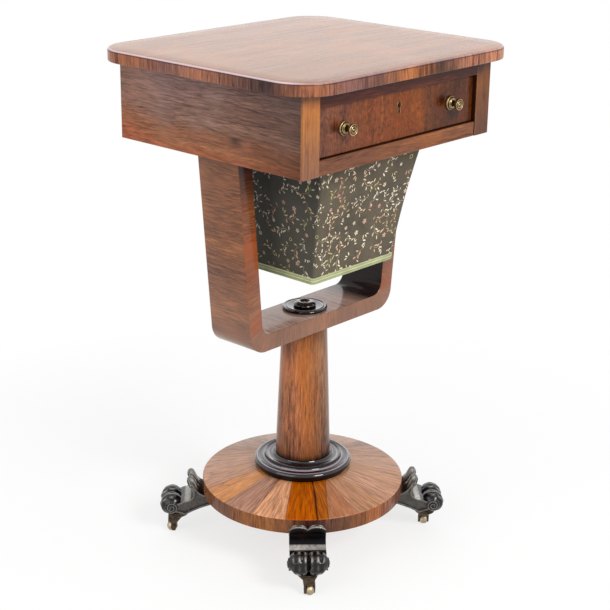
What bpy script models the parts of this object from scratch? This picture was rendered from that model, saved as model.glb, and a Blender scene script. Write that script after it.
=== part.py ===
# Knitting table in veneered rosewood: a drawer over a sliding work bag, carried by a yoke, a
# turned column, a round platform and four carved scroll feet on castors.
# Metres, Z up. The origin is on the floor under the column, and the drawer faces -Y.

import math

import bmesh
import bpy
from mathutils import Matrix, Vector

# Fits
GAP = 0.0003
RUN_GAP = 0.0006

# Castors
CASTOR_HEIGHT = 0.0319
WHEEL_RADIUS = 0.0080
WHEEL_WIDTH = 0.0110
WHEEL_STEPS = 20
CASTOR_TRAIL = 0.010
AXLE_RADIUS = 0.0015
CHEEK_THICKNESS = 0.0027
HORN_HEAD_RADIUS = 0.0150
HORN_HEAD_HEIGHT = 0.0026
PINTLE_RADIUS = 0.0030
PINTLE_LENGTH = 0.0160
PLATE_RADIUS = 0.0145
PLATE_THICKNESS = 0.0020
SWIVEL_REACH = 0.038

# Feet, measured outwards from the platform's rim and upwards from the castor's seat
FOOT_ANGLES = {"front_left": -135, "front_right": -45, "back_right": 45, "back_left": 135}
TRAIL_ANGLES = {"front_left": -123, "front_right": 44, "back_right": 75, "back_left": 161}
FOOT_HEIGHT = 0.0365
FOOT_WIDTH = 0.052
UNDERSIDE_WIDTH = 0.042
VOLUTE_WIDTH = 0.059
VOLUTE_RADIUS = 0.0168
VOLUTE_REACH = 0.047
SADDLE_RADIUS = 0.0152
SADDLE_REACH = 0.0295
SADDLE_RISE = 0.0416
SCROLL_WIDTH = 0.046
SCROLL_RADIUS = 0.0078
SCROLL_REACH = 0.0158
SCROLL_RISE = 0.0569
SCROLL_END_ANGLE = 115
CASTOR_SEAT_REACH = 0.027
UNDERSIDE_RISE = 0.0176
TAIL_LENGTH = 0.045
TAIL_THICKNESS = 0.011
LOBE_GROOVE = 0.16
LOBE_END_DROP = 0.28
FOOT_STATIONS = (-1.0, -0.92, -0.75, -0.5, -0.2, 0.0, 0.2, 0.5, 0.75, 0.92, 1.0)

# Stub tenon on each foot's tail, which stands in the platform
FOOT_TENON_INSET = 0.010
FOOT_TENON_LENGTH = 0.026
FOOT_TENON_WIDTH = 0.012
FOOT_TENON_HEIGHT = 0.013

# Platform, collar, column and cap
PLATFORM_RADIUS = 0.150
PLATFORM_EDGE = 0.0229
PLATFORM_RISE = 0.0179
PLATFORM_ARRIS = 0.0010
SEAT_RADIUS = 0.0725
COLLAR_RADIUS = 0.0737
COLLAR_HEIGHT = 0.0202
COLLAR_RING_HEIGHT = 0.0097
COLLAR_STEP_RADIUS = 0.0596
COLUMN_LENGTH = 0.2016
COLUMN_FOOT_RADIUS = 0.0408
COLUMN_HEAD_RADIUS = 0.0331
COLUMN_ARRIS = 0.0015
BASE_TENON_RADIUS = 0.020
HEAD_TENON_RADIUS = 0.016
TENON_END_GAP = 0.0012
CAP_RADIUS = 0.0326
CAP_HEIGHT = 0.0135
CAP_RIM_HEIGHT = 0.0042
CAP_KNOB_RADIUS = 0.0158
CAP_NECK_RADIUS = 0.0128
PEG_RADIUS = 0.0050
PEG_LENGTH = 0.012

# Yoke
YOKE_DEPTH = 0.076
YOKE_BOARD = 0.0245
YOKE_HEIGHT = 0.2799
YOKE_LEAN = 4.7
YOKE_INSET = 0.0055
KNEE_OUTER_RADIUS = 0.030
KNEE_INNER_RADIUS = 0.018
UPRIGHT_SEAM_RISE = 0.165
CROSS_RAIL_LENGTH = 0.144
TENON_THICKNESS = 0.010
TENON_WIDTH = 0.050
TENON_LENGTH = 0.0115

# Top and case
TOP_WIDTH = 0.441
TOP_DEPTH = 0.391
TOP_THICKNESS = 0.0176
TOP_CORNER_RADIUS = 0.055
TOP_UPPER_ARRIS = 0.0040
TOP_LOWER_ARRIS = 0.0015
TOP_OVERHANG = 0.0275
CASE_HEIGHT = 0.107
SIDE_THICKNESS = 0.016
BACK_THICKNESS = 0.014
STILE_WIDTH = 0.0304
STILE_FACING = 0.0040
STILE_DEPTH = 0.028
TOP_RAIL_HEIGHT = 0.0211
BEARER_WIDTH = 0.0307
GUIDE_HEIGHT = 0.015
KICKER_WIDTH = 0.027

# Sliding frame and work bag
BAG_RAIL_HEIGHT = 0.0204
BAG_RAIL_THICKNESS = 0.018
BAG_RAIL_RECESS = 0.0015
FRAME_HEIGHT = 0.015
FRAME_LIFT = 0.0018
FRAME_BACK_WIDTH = 0.020
FRAME_BACK_ROOM = 0.0093
TONGUE_HEIGHT = 0.0066
TONGUE_LIFT = 0.0070
TONGUE_REACH = 0.0065
BAG_TOP_WIDTH = 0.2136
BAG_BOTTOM_WIDTH = 0.1678
BAG_BOTTOM_DEPTH = 0.1796
BAG_DROP = 0.181
BAG_HOLLOW = 0.0023
BAG_WALL = 0.0030
BAG_BASE_THICKNESS = 0.005
BRAID_WIDTH = 0.0115
BRAID_THICKNESS = 0.0016

# Drawer
DRAWER_RECESS = 0.007
DRAWER_BACK_ROOM = 0.014
DRAWER_FRONT_THICKNESS = 0.018
DRAWER_SIDE_THICKNESS = 0.008
DRAWER_SIDE_INSET = 0.0008
DRAWER_SIDE_DROP = 0.0047
DRAWER_BACK_THICKNESS = 0.0075
DRAWER_BACK_DROP = 0.012
DRAWER_BOTTOM_THICKNESS = 0.0040
DRAWER_BOTTOM_LIFT = 0.0030
GROOVE_DEPTH = 0.0040

# Knobs, keyhole and lock
KNOB_INSET = 0.0515
KNOB_RADIUS = 0.0092
KNOB_ROSE_RADIUS = 0.0100
KNOB_NECK_RADIUS = 0.0042
KNOB_PROJECTION = 0.0185
KNOB_HEAD_THICKNESS = 0.0065
KNOB_ROSE_THICKNESS = 0.0035
SHANK_RADIUS = 0.0022
SHANK_LENGTH = 0.0135
KEYHOLE_RISE = 0.010
KEYHOLE_RADIUS = 0.0016
KEYHOLE_LENGTH = 0.0080
KEYHOLE_SLOT = 0.0016
ESCUTCHEON_RADIUS = 0.0045
ESCUTCHEON_HEIGHT = 0.0156
ESCUTCHEON_FOOT_WIDTH = 0.0060
ESCUTCHEON_THICKNESS = 0.0014
LOCK_WIDTH = 0.038
LOCK_HEIGHT = 0.040
LOCK_DEPTH = 0.0075
LOCK_TOP_DROP = 0.0011
BOLT_WIDTH = 0.012
BOLT_THICKNESS = 0.0033
BOLT_LENGTH = 0.026
BOLT_THROW = 0.007

# Heights of the stack, from the floor up
PLATFORM_BOTTOM = CASTOR_HEIGHT + FOOT_HEIGHT + GAP
PLATFORM_EDGE_TOP = PLATFORM_BOTTOM + PLATFORM_EDGE
PLATFORM_TOP = PLATFORM_EDGE_TOP + PLATFORM_RISE
COLLAR_BOTTOM = PLATFORM_TOP + GAP
COLUMN_BOTTOM = COLLAR_BOTTOM + COLLAR_HEIGHT + GAP
COLUMN_TOP = COLUMN_BOTTOM + COLUMN_LENGTH
YOKE_BOTTOM = COLUMN_TOP + GAP
CROSS_RAIL_TOP = YOKE_BOTTOM + YOKE_BOARD
CASE_BOTTOM = YOKE_BOTTOM + YOKE_HEIGHT
CASE_TOP = CASE_BOTTOM + CASE_HEIGHT
DRAWER_OPENING_TOP = CASE_TOP - TOP_RAIL_HEIGHT
DRAWER_FLOOR = CASE_BOTTOM + BAG_RAIL_HEIGHT + RUN_GAP
TOP_BOTTOM = CASE_TOP + GAP
TABLE_HEIGHT = TOP_BOTTOM + TOP_THICKNESS

# Faces of the case, as distances from the column's axis
CASE_X = TOP_WIDTH / 2 - TOP_OVERHANG
CASE_Y = TOP_DEPTH / 2 - TOP_OVERHANG
SIDE_INNER_X = CASE_X - SIDE_THICKNESS
BACK_INNER_Y = CASE_Y - BACK_THICKNESS
OPENING_X = CASE_X - STILE_WIDTH
BEARER_INNER_X = SIDE_INNER_X - GAP - BEARER_WIDTH
STILE_BACK_Y = -CASE_Y + STILE_DEPTH
BAG_TOP_DEPTH = 2 * (BACK_INNER_Y - FRAME_BACK_ROOM - FRAME_BACK_WIDTH - GAP)

FINISHES = {
    "rosewood": ((0.23, 0.085, 0.045), 0.28, 0.0),
    "rosewood_light": ((0.36, 0.16, 0.075), 0.30, 0.0),
    "ebonised": ((0.018, 0.014, 0.013), 0.18, 0.0),
    "carcass_wood": ((0.30, 0.17, 0.085), 0.60, 0.0),
    "brass": ((0.62, 0.47, 0.22), 0.30, 1.0),
    "iron": ((0.20, 0.19, 0.18), 0.50, 1.0),
    "bag_cloth": ((0.085, 0.070, 0.050), 0.85, 0.0),
    "bag_board": ((0.42, 0.34, 0.24), 0.90, 0.0),
    "braid": ((0.48, 0.55, 0.30), 0.85, 0.0),
}
SIDES = (("left", -1), ("right", 1))

for leftover in list(bpy.data.objects):
    bpy.data.objects.remove(leftover)


def material(finish):
    """The finish's material, made the first time that it is asked for."""
    if finish in bpy.data.materials:
        return bpy.data.materials[finish]
    made = bpy.data.materials.new(finish)
    made.use_nodes = True
    colour, roughness, metallic = FINISHES[finish]
    shader = made.node_tree.nodes["Principled BSDF"]
    shader.inputs["Base Color"].default_value = (*colour, 1.0)
    shader.inputs["Roughness"].default_value = roughness
    shader.inputs["Metallic"].default_value = metallic
    made.diffuse_color = (*colour, 1.0)
    return made


def empty(name, location=(0, 0, 0), turn=0.0, parent=None):
    """A joint's frame: the moving pieces are its children."""
    made = bpy.data.objects.new(name, None)
    made.location = location
    made.rotation_euler.z = math.radians(turn)
    made.parent = parent
    bpy.context.collection.objects.link(made)
    return made


def piece(name, finish, bm, parent=None, smooth=False):
    """Turns a finished bmesh into a named object with its faces pointing out."""
    bmesh.ops.recalc_face_normals(bm, faces=bm.faces)
    mesh = bpy.data.meshes.new(name)
    bm.to_mesh(mesh)
    bm.free()
    if smooth:
        mesh.shade_smooth()
        mesh.set_sharp_from_angle(angle=math.radians(35))
    made = bpy.data.objects.new(name, mesh)
    made.parent = parent
    bpy.context.collection.objects.link(made)
    if finish:
        mesh.materials.append(material(finish))
    else:
        made.hide_render = True
        made.display_type = "WIRE"
    return made


def add_box(bm, low, high):
    low, high = Vector(low), Vector(high)
    scale = Matrix.Diagonal((*(high - low), 1.0))
    bmesh.ops.create_cube(bm, size=1.0, matrix=Matrix.Translation((low + high) / 2) @ scale)


def board(name, finish, low, high, parent=None):
    bm = bmesh.new()
    add_box(bm, low, high)
    return piece(name, finish, bm, parent)


def prism(name, finish, outline, y_low, y_high, parent=None, smooth=False):
    """An outline in X and Z, run along Y."""
    bm = bmesh.new()
    face = bm.faces.new([bm.verts.new((x, y_low, z)) for x, z in outline])
    run = bmesh.ops.extrude_face_region(bm, geom=[face])
    moved = [part for part in run["geom"] if isinstance(part, bmesh.types.BMVert)]
    bmesh.ops.translate(bm, verts=moved, vec=(0, y_high - y_low, 0))
    return piece(name, finish, bm, parent, smooth)


def spin(bm, profile, steps, ring=False, place=None):
    """A turned solid about Z from its half profile. A ring's profile goes round a bore."""
    verts = [bm.verts.new((radius, 0, z)) for radius, z in profile]
    edges = [bm.edges.new(pair) for pair in zip(verts, verts[1:])]
    if ring:
        edges.append(bm.edges.new((verts[-1], verts[0])))
    before = set(bm.verts) - set(verts)
    turn = {"cent": (0, 0, 0), "axis": (0, 0, 1), "angle": 2 * math.pi, "steps": steps}
    bmesh.ops.spin(bm, geom=verts + edges, use_merge=True, **turn)
    made = [vert for vert in bm.verts if vert not in before]
    bmesh.ops.remove_doubles(bm, verts=made, dist=1e-6)
    if place:
        made = [vert for vert in bm.verts if vert not in before]
        bmesh.ops.transform(bm, matrix=place, verts=made)


def turned(name, finish, profile, steps, ring=False, place=None, parent=None):
    bm = bmesh.new()
    spin(bm, profile, steps, ring, place)
    return piece(name, finish, bm, parent, smooth=True)


def loft(name, finish, rings, parent=None, smooth=False):
    """A solid through rings of equal length, closed at both ends."""
    bm = bmesh.new()
    rows = [[bm.verts.new(point) for point in ring] for ring in rings]
    for lower, upper in zip(rows, rows[1:]):
        for a in range(len(lower)):
            b = (a + 1) % len(lower)
            bm.faces.new((lower[a], lower[b], upper[b], upper[a]))
    bm.faces.new(rows[0])
    bm.faces.new(rows[-1])
    return piece(name, finish, bm, parent, smooth)


def boolean(target, other, operation):
    change = target.modifiers.new(other.name, "BOOLEAN")
    change.object = other
    change.operation = operation
    other.parent = other.parent or target.parent


def cut(target, cutter):
    boolean(target, cutter, "DIFFERENCE")


def fuse(target, addition):
    boolean(target, addition, "UNION")


def arc(centre, radius, start, end, count):
    """Points on a circle, from one angle to another in degrees."""
    angles = [math.radians(start + (end - start) * step / (count - 1)) for step in range(count)]
    return [(centre[0] + radius * math.cos(a), centre[1] + radius * math.sin(a)) for a in angles]


def angle_of(centre, point):
    return math.degrees(math.atan2(point[1] - centre[1], point[0] - centre[0]))


def rounded_rectangle(width, depth, radius, z, steps):
    corners = ((1, 1, 0), (-1, 1, 90), (-1, -1, 180), (1, -1, 270))
    points = []
    for x_sign, y_sign, start in corners:
        centre = (x_sign * (width / 2 - radius), y_sign * (depth / 2 - radius))
        points += arc(centre, radius, start, start + 90, steps)
    return [(x, y, z) for x, y in points]


def polar(radius, angle):
    return radius * math.cos(math.radians(angle)), radius * math.sin(math.radians(angle))


def make_top():
    """Table top with round corners, a soft upper arris and a small lower one."""
    levels = [(TOP_BOTTOM, TOP_LOWER_ARRIS), (TOP_BOTTOM + TOP_LOWER_ARRIS, 0.0)]
    for step in range(4):
        turn = math.radians(30 * step)
        rise = TOP_UPPER_ARRIS * math.sin(turn)
        levels.append((TABLE_HEIGHT - TOP_UPPER_ARRIS + rise, TOP_UPPER_ARRIS * (1 - math.cos(turn))))
    rings = []
    for z, inset in levels:
        size = (TOP_WIDTH - 2 * inset, TOP_DEPTH - 2 * inset)
        rings.append(rounded_rectangle(*size, TOP_CORNER_RADIUS - inset, z, 8))
    loft("table_top", "rosewood", rings, smooth=True)


def make_case():
    """Sides, back, stiles, top rail, bearers and kickers: the fixed box under the top."""
    board(
        "back_panel",
        "rosewood",
        (-SIDE_INNER_X + GAP, BACK_INNER_Y, CASE_BOTTOM),
        (SIDE_INNER_X - GAP, CASE_Y, CASE_TOP),
    )
    rail = board(
        "top_rail",
        "rosewood",
        (-OPENING_X + GAP, -CASE_Y, DRAWER_OPENING_TOP),
        (OPENING_X - GAP, STILE_BACK_Y, CASE_TOP),
    )
    bolt_low, bolt_high = bolt_box()
    room = Vector((RUN_GAP, RUN_GAP, 0))
    mortise_top = Vector((0, 0, BOLT_THROW + 2 * RUN_GAP))
    cut(rail, board("bolt_mortise", None, bolt_low - room, bolt_high + room + mortise_top))
    for side, sign in SIDES:
        make_case_side(side, sign)


def make_case_side(side, sign):
    def x_range(inner, outer):
        return sorted((sign * inner, sign * outer))

    x_low, x_high = x_range(SIDE_INNER_X, CASE_X)
    facing_y = -CASE_Y + STILE_FACING
    board(
        f"side_panel_{side}",
        "rosewood",
        (x_low, facing_y + GAP, CASE_BOTTOM),
        (x_high, CASE_Y, CASE_TOP),
    )
    block_x = SIDE_INNER_X - GAP
    plan = [
        (OPENING_X, -CASE_Y),
        (CASE_X, -CASE_Y),
        (CASE_X, facing_y),
        (block_x, facing_y),
        (block_x, STILE_BACK_Y),
        (OPENING_X, STILE_BACK_Y),
    ]
    rings = [[(sign * x, y, z) for x, y in plan] for z in (CASE_BOTTOM, CASE_TOP)]
    loft(f"front_stile_{side}", "rosewood_light", rings)

    inner_y = (STILE_BACK_Y + GAP, BACK_INNER_Y - GAP)
    top = DRAWER_FLOOR - GAP
    guide_x = OPENING_X - DRAWER_SIDE_INSET
    groove_low = CASE_BOTTOM + TONGUE_LIFT - GAP
    groove_high = groove_low + TONGUE_HEIGHT + 2 * GAP
    groove_x = BEARER_INNER_X + TONGUE_REACH
    section = [
        (block_x, CASE_BOTTOM),
        (block_x, top + GUIDE_HEIGHT),
        (guide_x, top + GUIDE_HEIGHT),
        (guide_x, top),
        (BEARER_INNER_X, top),
        (BEARER_INNER_X, groove_high),
        (groove_x, groove_high),
        (groove_x, groove_low),
        (BEARER_INNER_X, groove_low),
        (BEARER_INNER_X, CASE_BOTTOM),
    ]
    bearer = prism(f"bearer_{side}", "carcass_wood", [(sign * x, z) for x, z in section], *inner_y)
    low, high = upright_tenon(sign)
    room = Vector((GAP, GAP, GAP))
    cut(bearer, board(f"bearer_mortise_{side}", None, low - room, high + room))

    x_low, x_high = x_range(block_x - KICKER_WIDTH, block_x)
    board(
        f"kicker_{side}",
        "carcass_wood",
        (x_low, inner_y[0], DRAWER_OPENING_TOP),
        (x_high, inner_y[1], CASE_TOP),
    )


def yoke_outer_x(z):
    """The upright's outer face leans inwards on its way down."""
    top_x = SIDE_INNER_X - YOKE_INSET
    return top_x - (CASE_BOTTOM - z) * math.tan(math.radians(YOKE_LEAN))


def yoke_inner_x(z):
    return yoke_outer_x(z) - YOKE_BOARD / math.cos(math.radians(YOKE_LEAN))


def tenon_box(centre, sign, z_low, z_high):
    low = Vector((sign * centre - TENON_THICKNESS / 2, -TENON_WIDTH / 2, z_low))
    high = Vector((sign * centre + TENON_THICKNESS / 2, TENON_WIDTH / 2, z_high))
    return low, high


def upright_tenon(sign):
    """The tenon at the head of an upright, which stands in its bearer."""
    centre = (yoke_outer_x(CASE_BOTTOM) + yoke_inner_x(CASE_BOTTOM)) / 2
    return tenon_box(centre, sign, CASE_BOTTOM - TENON_LENGTH, CASE_BOTTOM + TENON_LENGTH)


def knee_corner(foot_x, floor_z, radius):
    """The round between a leaning face and the level face under it, from the level end."""
    lean = math.radians(YOKE_LEAN)
    centre = (foot_x - radius * (1 - math.sin(lean)) / math.cos(lean), floor_z + radius)
    return arc(centre, radius, -90, -YOKE_LEAN, 8)


def make_yoke():
    """Two uprights and two knees either side of a cross rail, joined by hidden tenons."""
    seam = YOKE_BOTTOM + UPRIGHT_SEAM_RISE
    rail_x = CROSS_RAIL_LENGTH / 2
    half_depth = YOKE_DEPTH / 2
    rail_mid_z = YOKE_BOTTOM + YOKE_BOARD / 2
    half_tenon = TENON_THICKNESS / 2
    room = Vector((GAP, GAP, GAP))

    rail = board(
        "yoke_cross_rail",
        "rosewood",
        (-rail_x, -half_depth, YOKE_BOTTOM),
        (rail_x, half_depth, CROSS_RAIL_TOP),
    )
    bore = [
        (0, CROSS_RAIL_TOP + GAP),
        (HEAD_TENON_RADIUS + GAP, CROSS_RAIL_TOP + GAP),
        (HEAD_TENON_RADIUS + GAP, YOKE_BOTTOM - GAP),
        (0, YOKE_BOTTOM - GAP),
    ]
    rail_tenon_x = rail_x + TENON_LENGTH
    rail_tenon_low = Vector((-rail_tenon_x, -TENON_WIDTH / 2, rail_mid_z - half_tenon))
    rail_tenon_high = Vector((rail_tenon_x, TENON_WIDTH / 2, rail_mid_z + half_tenon))
    fuse(rail, board("rail_tenons", None, rail_tenon_low, rail_tenon_high))
    cut(rail, turned("rail_bore", None, bore, 32))

    for side, sign in SIDES:
        outer = knee_corner(yoke_outer_x(YOKE_BOTTOM), YOKE_BOTTOM, KNEE_OUTER_RADIUS)
        inner = knee_corner(yoke_inner_x(CROSS_RAIL_TOP), CROSS_RAIL_TOP, KNEE_INNER_RADIUS)
        outline = [(rail_x + GAP, YOKE_BOTTOM), *outer]
        outline += [(yoke_outer_x(seam), seam), (yoke_inner_x(seam), seam)]
        outline += [*reversed(inner), (rail_x + GAP, CROSS_RAIL_TOP)]
        mirrored = [(sign * x, z) for x, z in outline]
        knee = prism(f"yoke_knee_{side}", "rosewood", mirrored, -half_depth, half_depth, smooth=True)
        cut(knee, board(f"rail_mortise_{side}", None, rail_tenon_low - room, rail_tenon_high + room))

        foot, head = seam + GAP, CASE_BOTTOM - GAP
        outline = [
            (yoke_outer_x(foot), foot),
            (yoke_outer_x(head), head),
            (yoke_inner_x(head), head),
            (yoke_inner_x(foot), foot),
        ]
        mirrored = [(sign * x, z) for x, z in outline]
        upright = prism(f"yoke_upright_{side}", "rosewood", mirrored, -half_depth, half_depth)
        fuse(upright, board(f"head_tenon_{side}", None, *upright_tenon(sign)))
        centre = (yoke_outer_x(seam) + yoke_inner_x(seam)) / 2
        low, high = tenon_box(centre, sign, seam - TENON_LENGTH, seam + TENON_LENGTH)
        fuse(upright, board(f"seam_tenon_{side}", None, low, high))
        cut(knee, board(f"seam_mortise_{side}", None, low - room, high + room))


def make_column():
    """Turned cap, column and collar, pinned on one axis by peg and tenons."""
    head_z = CROSS_RAIL_TOP - TENON_END_GAP
    column = [
        (0, head_z - PEG_LENGTH),
        (PEG_RADIUS + GAP, head_z - PEG_LENGTH),
        (PEG_RADIUS + GAP, head_z),
        (HEAD_TENON_RADIUS, head_z),
        (HEAD_TENON_RADIUS, COLUMN_TOP),
        (COLUMN_HEAD_RADIUS - COLUMN_ARRIS, COLUMN_TOP),
        (COLUMN_HEAD_RADIUS, COLUMN_TOP - COLUMN_ARRIS),
        (COLUMN_FOOT_RADIUS, COLUMN_BOTTOM + COLUMN_ARRIS),
        (COLUMN_FOOT_RADIUS - COLUMN_ARRIS, COLUMN_BOTTOM),
        (BASE_TENON_RADIUS, COLUMN_BOTTOM),
        (BASE_TENON_RADIUS, PLATFORM_BOTTOM + TENON_END_GAP),
        (0, PLATFORM_BOTTOM + TENON_END_GAP),
    ]
    turned("column", "rosewood", column, 40)

    foot = CROSS_RAIL_TOP + GAP
    head = foot + CAP_HEIGHT
    knob_z = (foot + CAP_RIM_HEIGHT + head) / 2
    half_knob = (head - foot - CAP_RIM_HEIGHT) / 2
    bulge = CAP_KNOB_RADIUS - CAP_NECK_RADIUS
    cap = [(0, head - half_knob / 2), (CAP_NECK_RADIUS / 2, head - half_knob / 2)]
    cap += [(CAP_NECK_RADIUS, head)]
    cap += [(CAP_NECK_RADIUS + bulge * math.cos(a), knob_z + half_knob * math.sin(a)) for a in (0.7, 0, -0.7)]
    cap += [(CAP_NECK_RADIUS, foot + CAP_RIM_HEIGHT)]
    cap += arc((CAP_RADIUS - CAP_RIM_HEIGHT / 2, foot + CAP_RIM_HEIGHT / 2), CAP_RIM_HEIGHT / 2, 90, -90, 5)
    peg_end = head_z - PEG_LENGTH + TENON_END_GAP
    cap += [(PEG_RADIUS, foot), (PEG_RADIUS, peg_end), (0, peg_end)]
    turned("column_cap", "ebonised", cap, 36)

    ring = COLLAR_RING_HEIGHT / 2
    ring_z = COLLAR_BOTTOM + ring
    step_height = COLLAR_HEIGHT - COLLAR_RING_HEIGHT
    step = step_height / 3
    bore = BASE_TENON_RADIUS + GAP
    collar = [(bore, COLLAR_BOTTOM + COLLAR_HEIGHT)]
    collar += [(COLUMN_FOOT_RADIUS, COLLAR_BOTTOM + COLLAR_HEIGHT)]
    collar += [(COLLAR_STEP_RADIUS - 2 * step, COLLAR_BOTTOM + COLLAR_HEIGHT - step)]
    collar += arc((COLLAR_STEP_RADIUS - step, ring_z + ring + step), step, 90, -60, 6)
    collar += [(COLLAR_RADIUS - 2 * ring, ring_z + ring - step / 3)]
    collar += arc((COLLAR_RADIUS - ring, ring_z), ring, 75, -80, 7)
    collar += [(bore, COLLAR_BOTTOM)]
    turned("column_collar", "ebonised", collar, 48, ring=True)


def make_platform():
    """Round platform with a coned top and a mortise over each foot's tail."""
    bore = BASE_TENON_RADIUS + GAP
    profile = [
        (bore, PLATFORM_TOP),
        (SEAT_RADIUS, PLATFORM_TOP),
        (PLATFORM_RADIUS - PLATFORM_ARRIS, PLATFORM_EDGE_TOP),
        (PLATFORM_RADIUS, PLATFORM_EDGE_TOP - PLATFORM_ARRIS),
        (PLATFORM_RADIUS, PLATFORM_BOTTOM),
        (bore, PLATFORM_BOTTOM),
    ]
    platform = turned("platform", "rosewood", profile, 72, ring=True)
    for where, angle in FOOT_ANGLES.items():
        cut(platform, foot_tenon(f"platform_mortise_{where}", angle, GAP))


def foot_tenon(name, angle, room):
    """The tenon on a foot's tail as a hidden solid; with room, the mortise that it stands in."""
    outer = PLATFORM_RADIUS - FOOT_TENON_INSET + room
    inner = PLATFORM_RADIUS - FOOT_TENON_INSET - FOOT_TENON_LENGTH - room
    half = FOOT_TENON_WIDTH / 2 + room
    plan = [(inner, -half), (outer, -half), (outer, half), (inner, half)]
    turn = Matrix.Rotation(math.radians(angle), 3, "Z")
    rings = []
    for z in (PLATFORM_BOTTOM - TAIL_THICKNESS / 2, PLATFORM_BOTTOM + FOOT_TENON_HEIGHT + room):
        rings.append([turn @ Vector((r, across, z)) for r, across in plan])
    return loft(name, None, rings)


def circle_crossing(centre, radius, other, other_radius):
    """Where two circles cross, on the side nearer the column."""
    reach = Vector(other) - Vector(centre)
    along = (reach.length_squared + radius**2 - other_radius**2) / (2 * reach.length)
    across = math.sqrt(max(0.0, radius**2 - along**2))
    unit = reach.normalized()
    base = Vector(centre) + along * unit
    points = [base + across * Vector((-unit.y, unit.x)), base - across * Vector((-unit.y, unit.x))]
    return min(points, key=lambda point: point.x)


def foot_outline():
    """The carved foot's side view: radius, height, width there, centre of its roll, share of lobing."""
    rim, floor = PLATFORM_RADIUS, CASTOR_HEIGHT
    volute = (rim + VOLUTE_REACH, floor + VOLUTE_RADIUS)
    saddle = (rim + SADDLE_REACH, floor + SADDLE_RISE)
    scroll = (rim + SCROLL_REACH, floor + SCROLL_RISE)
    valley = circle_crossing(saddle, SADDLE_RADIUS, volute, VOLUTE_RADIUS)
    lip = circle_crossing(saddle, SADDLE_RADIUS, scroll, SCROLL_RADIUS)

    tail_end = Vector((rim - TAIL_LENGTH, floor + FOOT_HEIGHT - TAIL_THICKNESS))
    bend = Vector((rim, floor + UNDERSIDE_RISE))
    seat_edge = Vector((rim + CASTOR_SEAT_REACH, floor))
    points = []
    for step in range(5):
        t = step / 4
        on_curve = (1 - t) ** 2 * tail_end + 2 * t * (1 - t) * bend + t**2 * seat_edge
        points.append((*on_curve, UNDERSIDE_WIDTH, None, 0.0))
    valley_angle = angle_of(volute, valley)
    for step, (r, z) in enumerate(arc(volute, VOLUTE_RADIUS, -90, valley_angle, 11)):
        share = min(1.0, step / 2)
        width = UNDERSIDE_WIDTH + (VOLUTE_WIDTH - UNDERSIDE_WIDTH) * share
        points.append((r, z, width, volute, share))
    saddle_start = angle_of(saddle, valley)
    saddle_end = angle_of(saddle, lip) - 360
    for r, z in arc(saddle, SADDLE_RADIUS, saddle_start, saddle_end, 8)[1:-1]:
        points.append((r, z, FOOT_WIDTH, None, 0.0))
    for r, z in arc(scroll, SCROLL_RADIUS, angle_of(scroll, lip), SCROLL_END_ANGLE, 8):
        points.append((r, z, SCROLL_WIDTH, scroll, 1.0))
    points.append((None, PLATFORM_EDGE_TOP - PLATFORM_ARRIS, SCROLL_WIDTH, None, 0.0))
    points.append((None, floor + FOOT_HEIGHT, FOOT_WIDTH, None, 0.0))
    points.append((rim - TAIL_LENGTH, floor + FOOT_HEIGHT, UNDERSIDE_WIDTH, None, 0.0))
    return points


def lobe(station):
    """How full the carved rolls are across the foot: two lobes with a groove between them."""
    across = abs(station)
    dip = LOBE_GROOVE * (1 - math.sin(math.pi * across)) ** 2
    return 1 - dip - LOBE_END_DROP * across**6


def make_foot(where, angle):
    outline = foot_outline()
    rings = []
    for station in FOOT_STATIONS:
        ring = []
        for r, z, width, centre, share in outline:
            across = station * width / 2
            if r is None:
                r = math.sqrt((PLATFORM_RADIUS + GAP) ** 2 - across**2)
            if centre:
                full = 1 - (1 - lobe(station)) * share
                r = centre[0] + (r - centre[0]) * full
                z = centre[1] + (z - centre[1]) * full
            ring.append(Matrix.Rotation(math.radians(angle), 3, "Z") @ Vector((r, across, z)))
        rings.append(ring)
    foot = loft(f"foot_{where}", "ebonised", rings, smooth=True)
    fuse(foot, foot_tenon(f"foot_tenon_{where}", angle, 0.0))
    pin_top = CASTOR_HEIGHT + PINTLE_LENGTH + GAP
    hole = [(0, pin_top), (PINTLE_RADIUS + GAP, pin_top)]
    hole += [(PINTLE_RADIUS + GAP, CASTOR_HEIGHT - PLATE_THICKNESS), (0, CASTOR_HEIGHT - PLATE_THICKNESS)]
    place = Matrix.Translation((*polar(PLATFORM_RADIUS + SWIVEL_REACH, angle), 0))
    cut(foot, turned(f"pintle_hole_{where}", None, hole, 12, place=place))


def oval(centre_x, half_length, half_width, z, count=16):
    angles = [2 * math.pi * step / count for step in range(count)]
    return [(centre_x + half_length * math.cos(a), half_width * math.sin(a), z) for a in angles]


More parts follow.
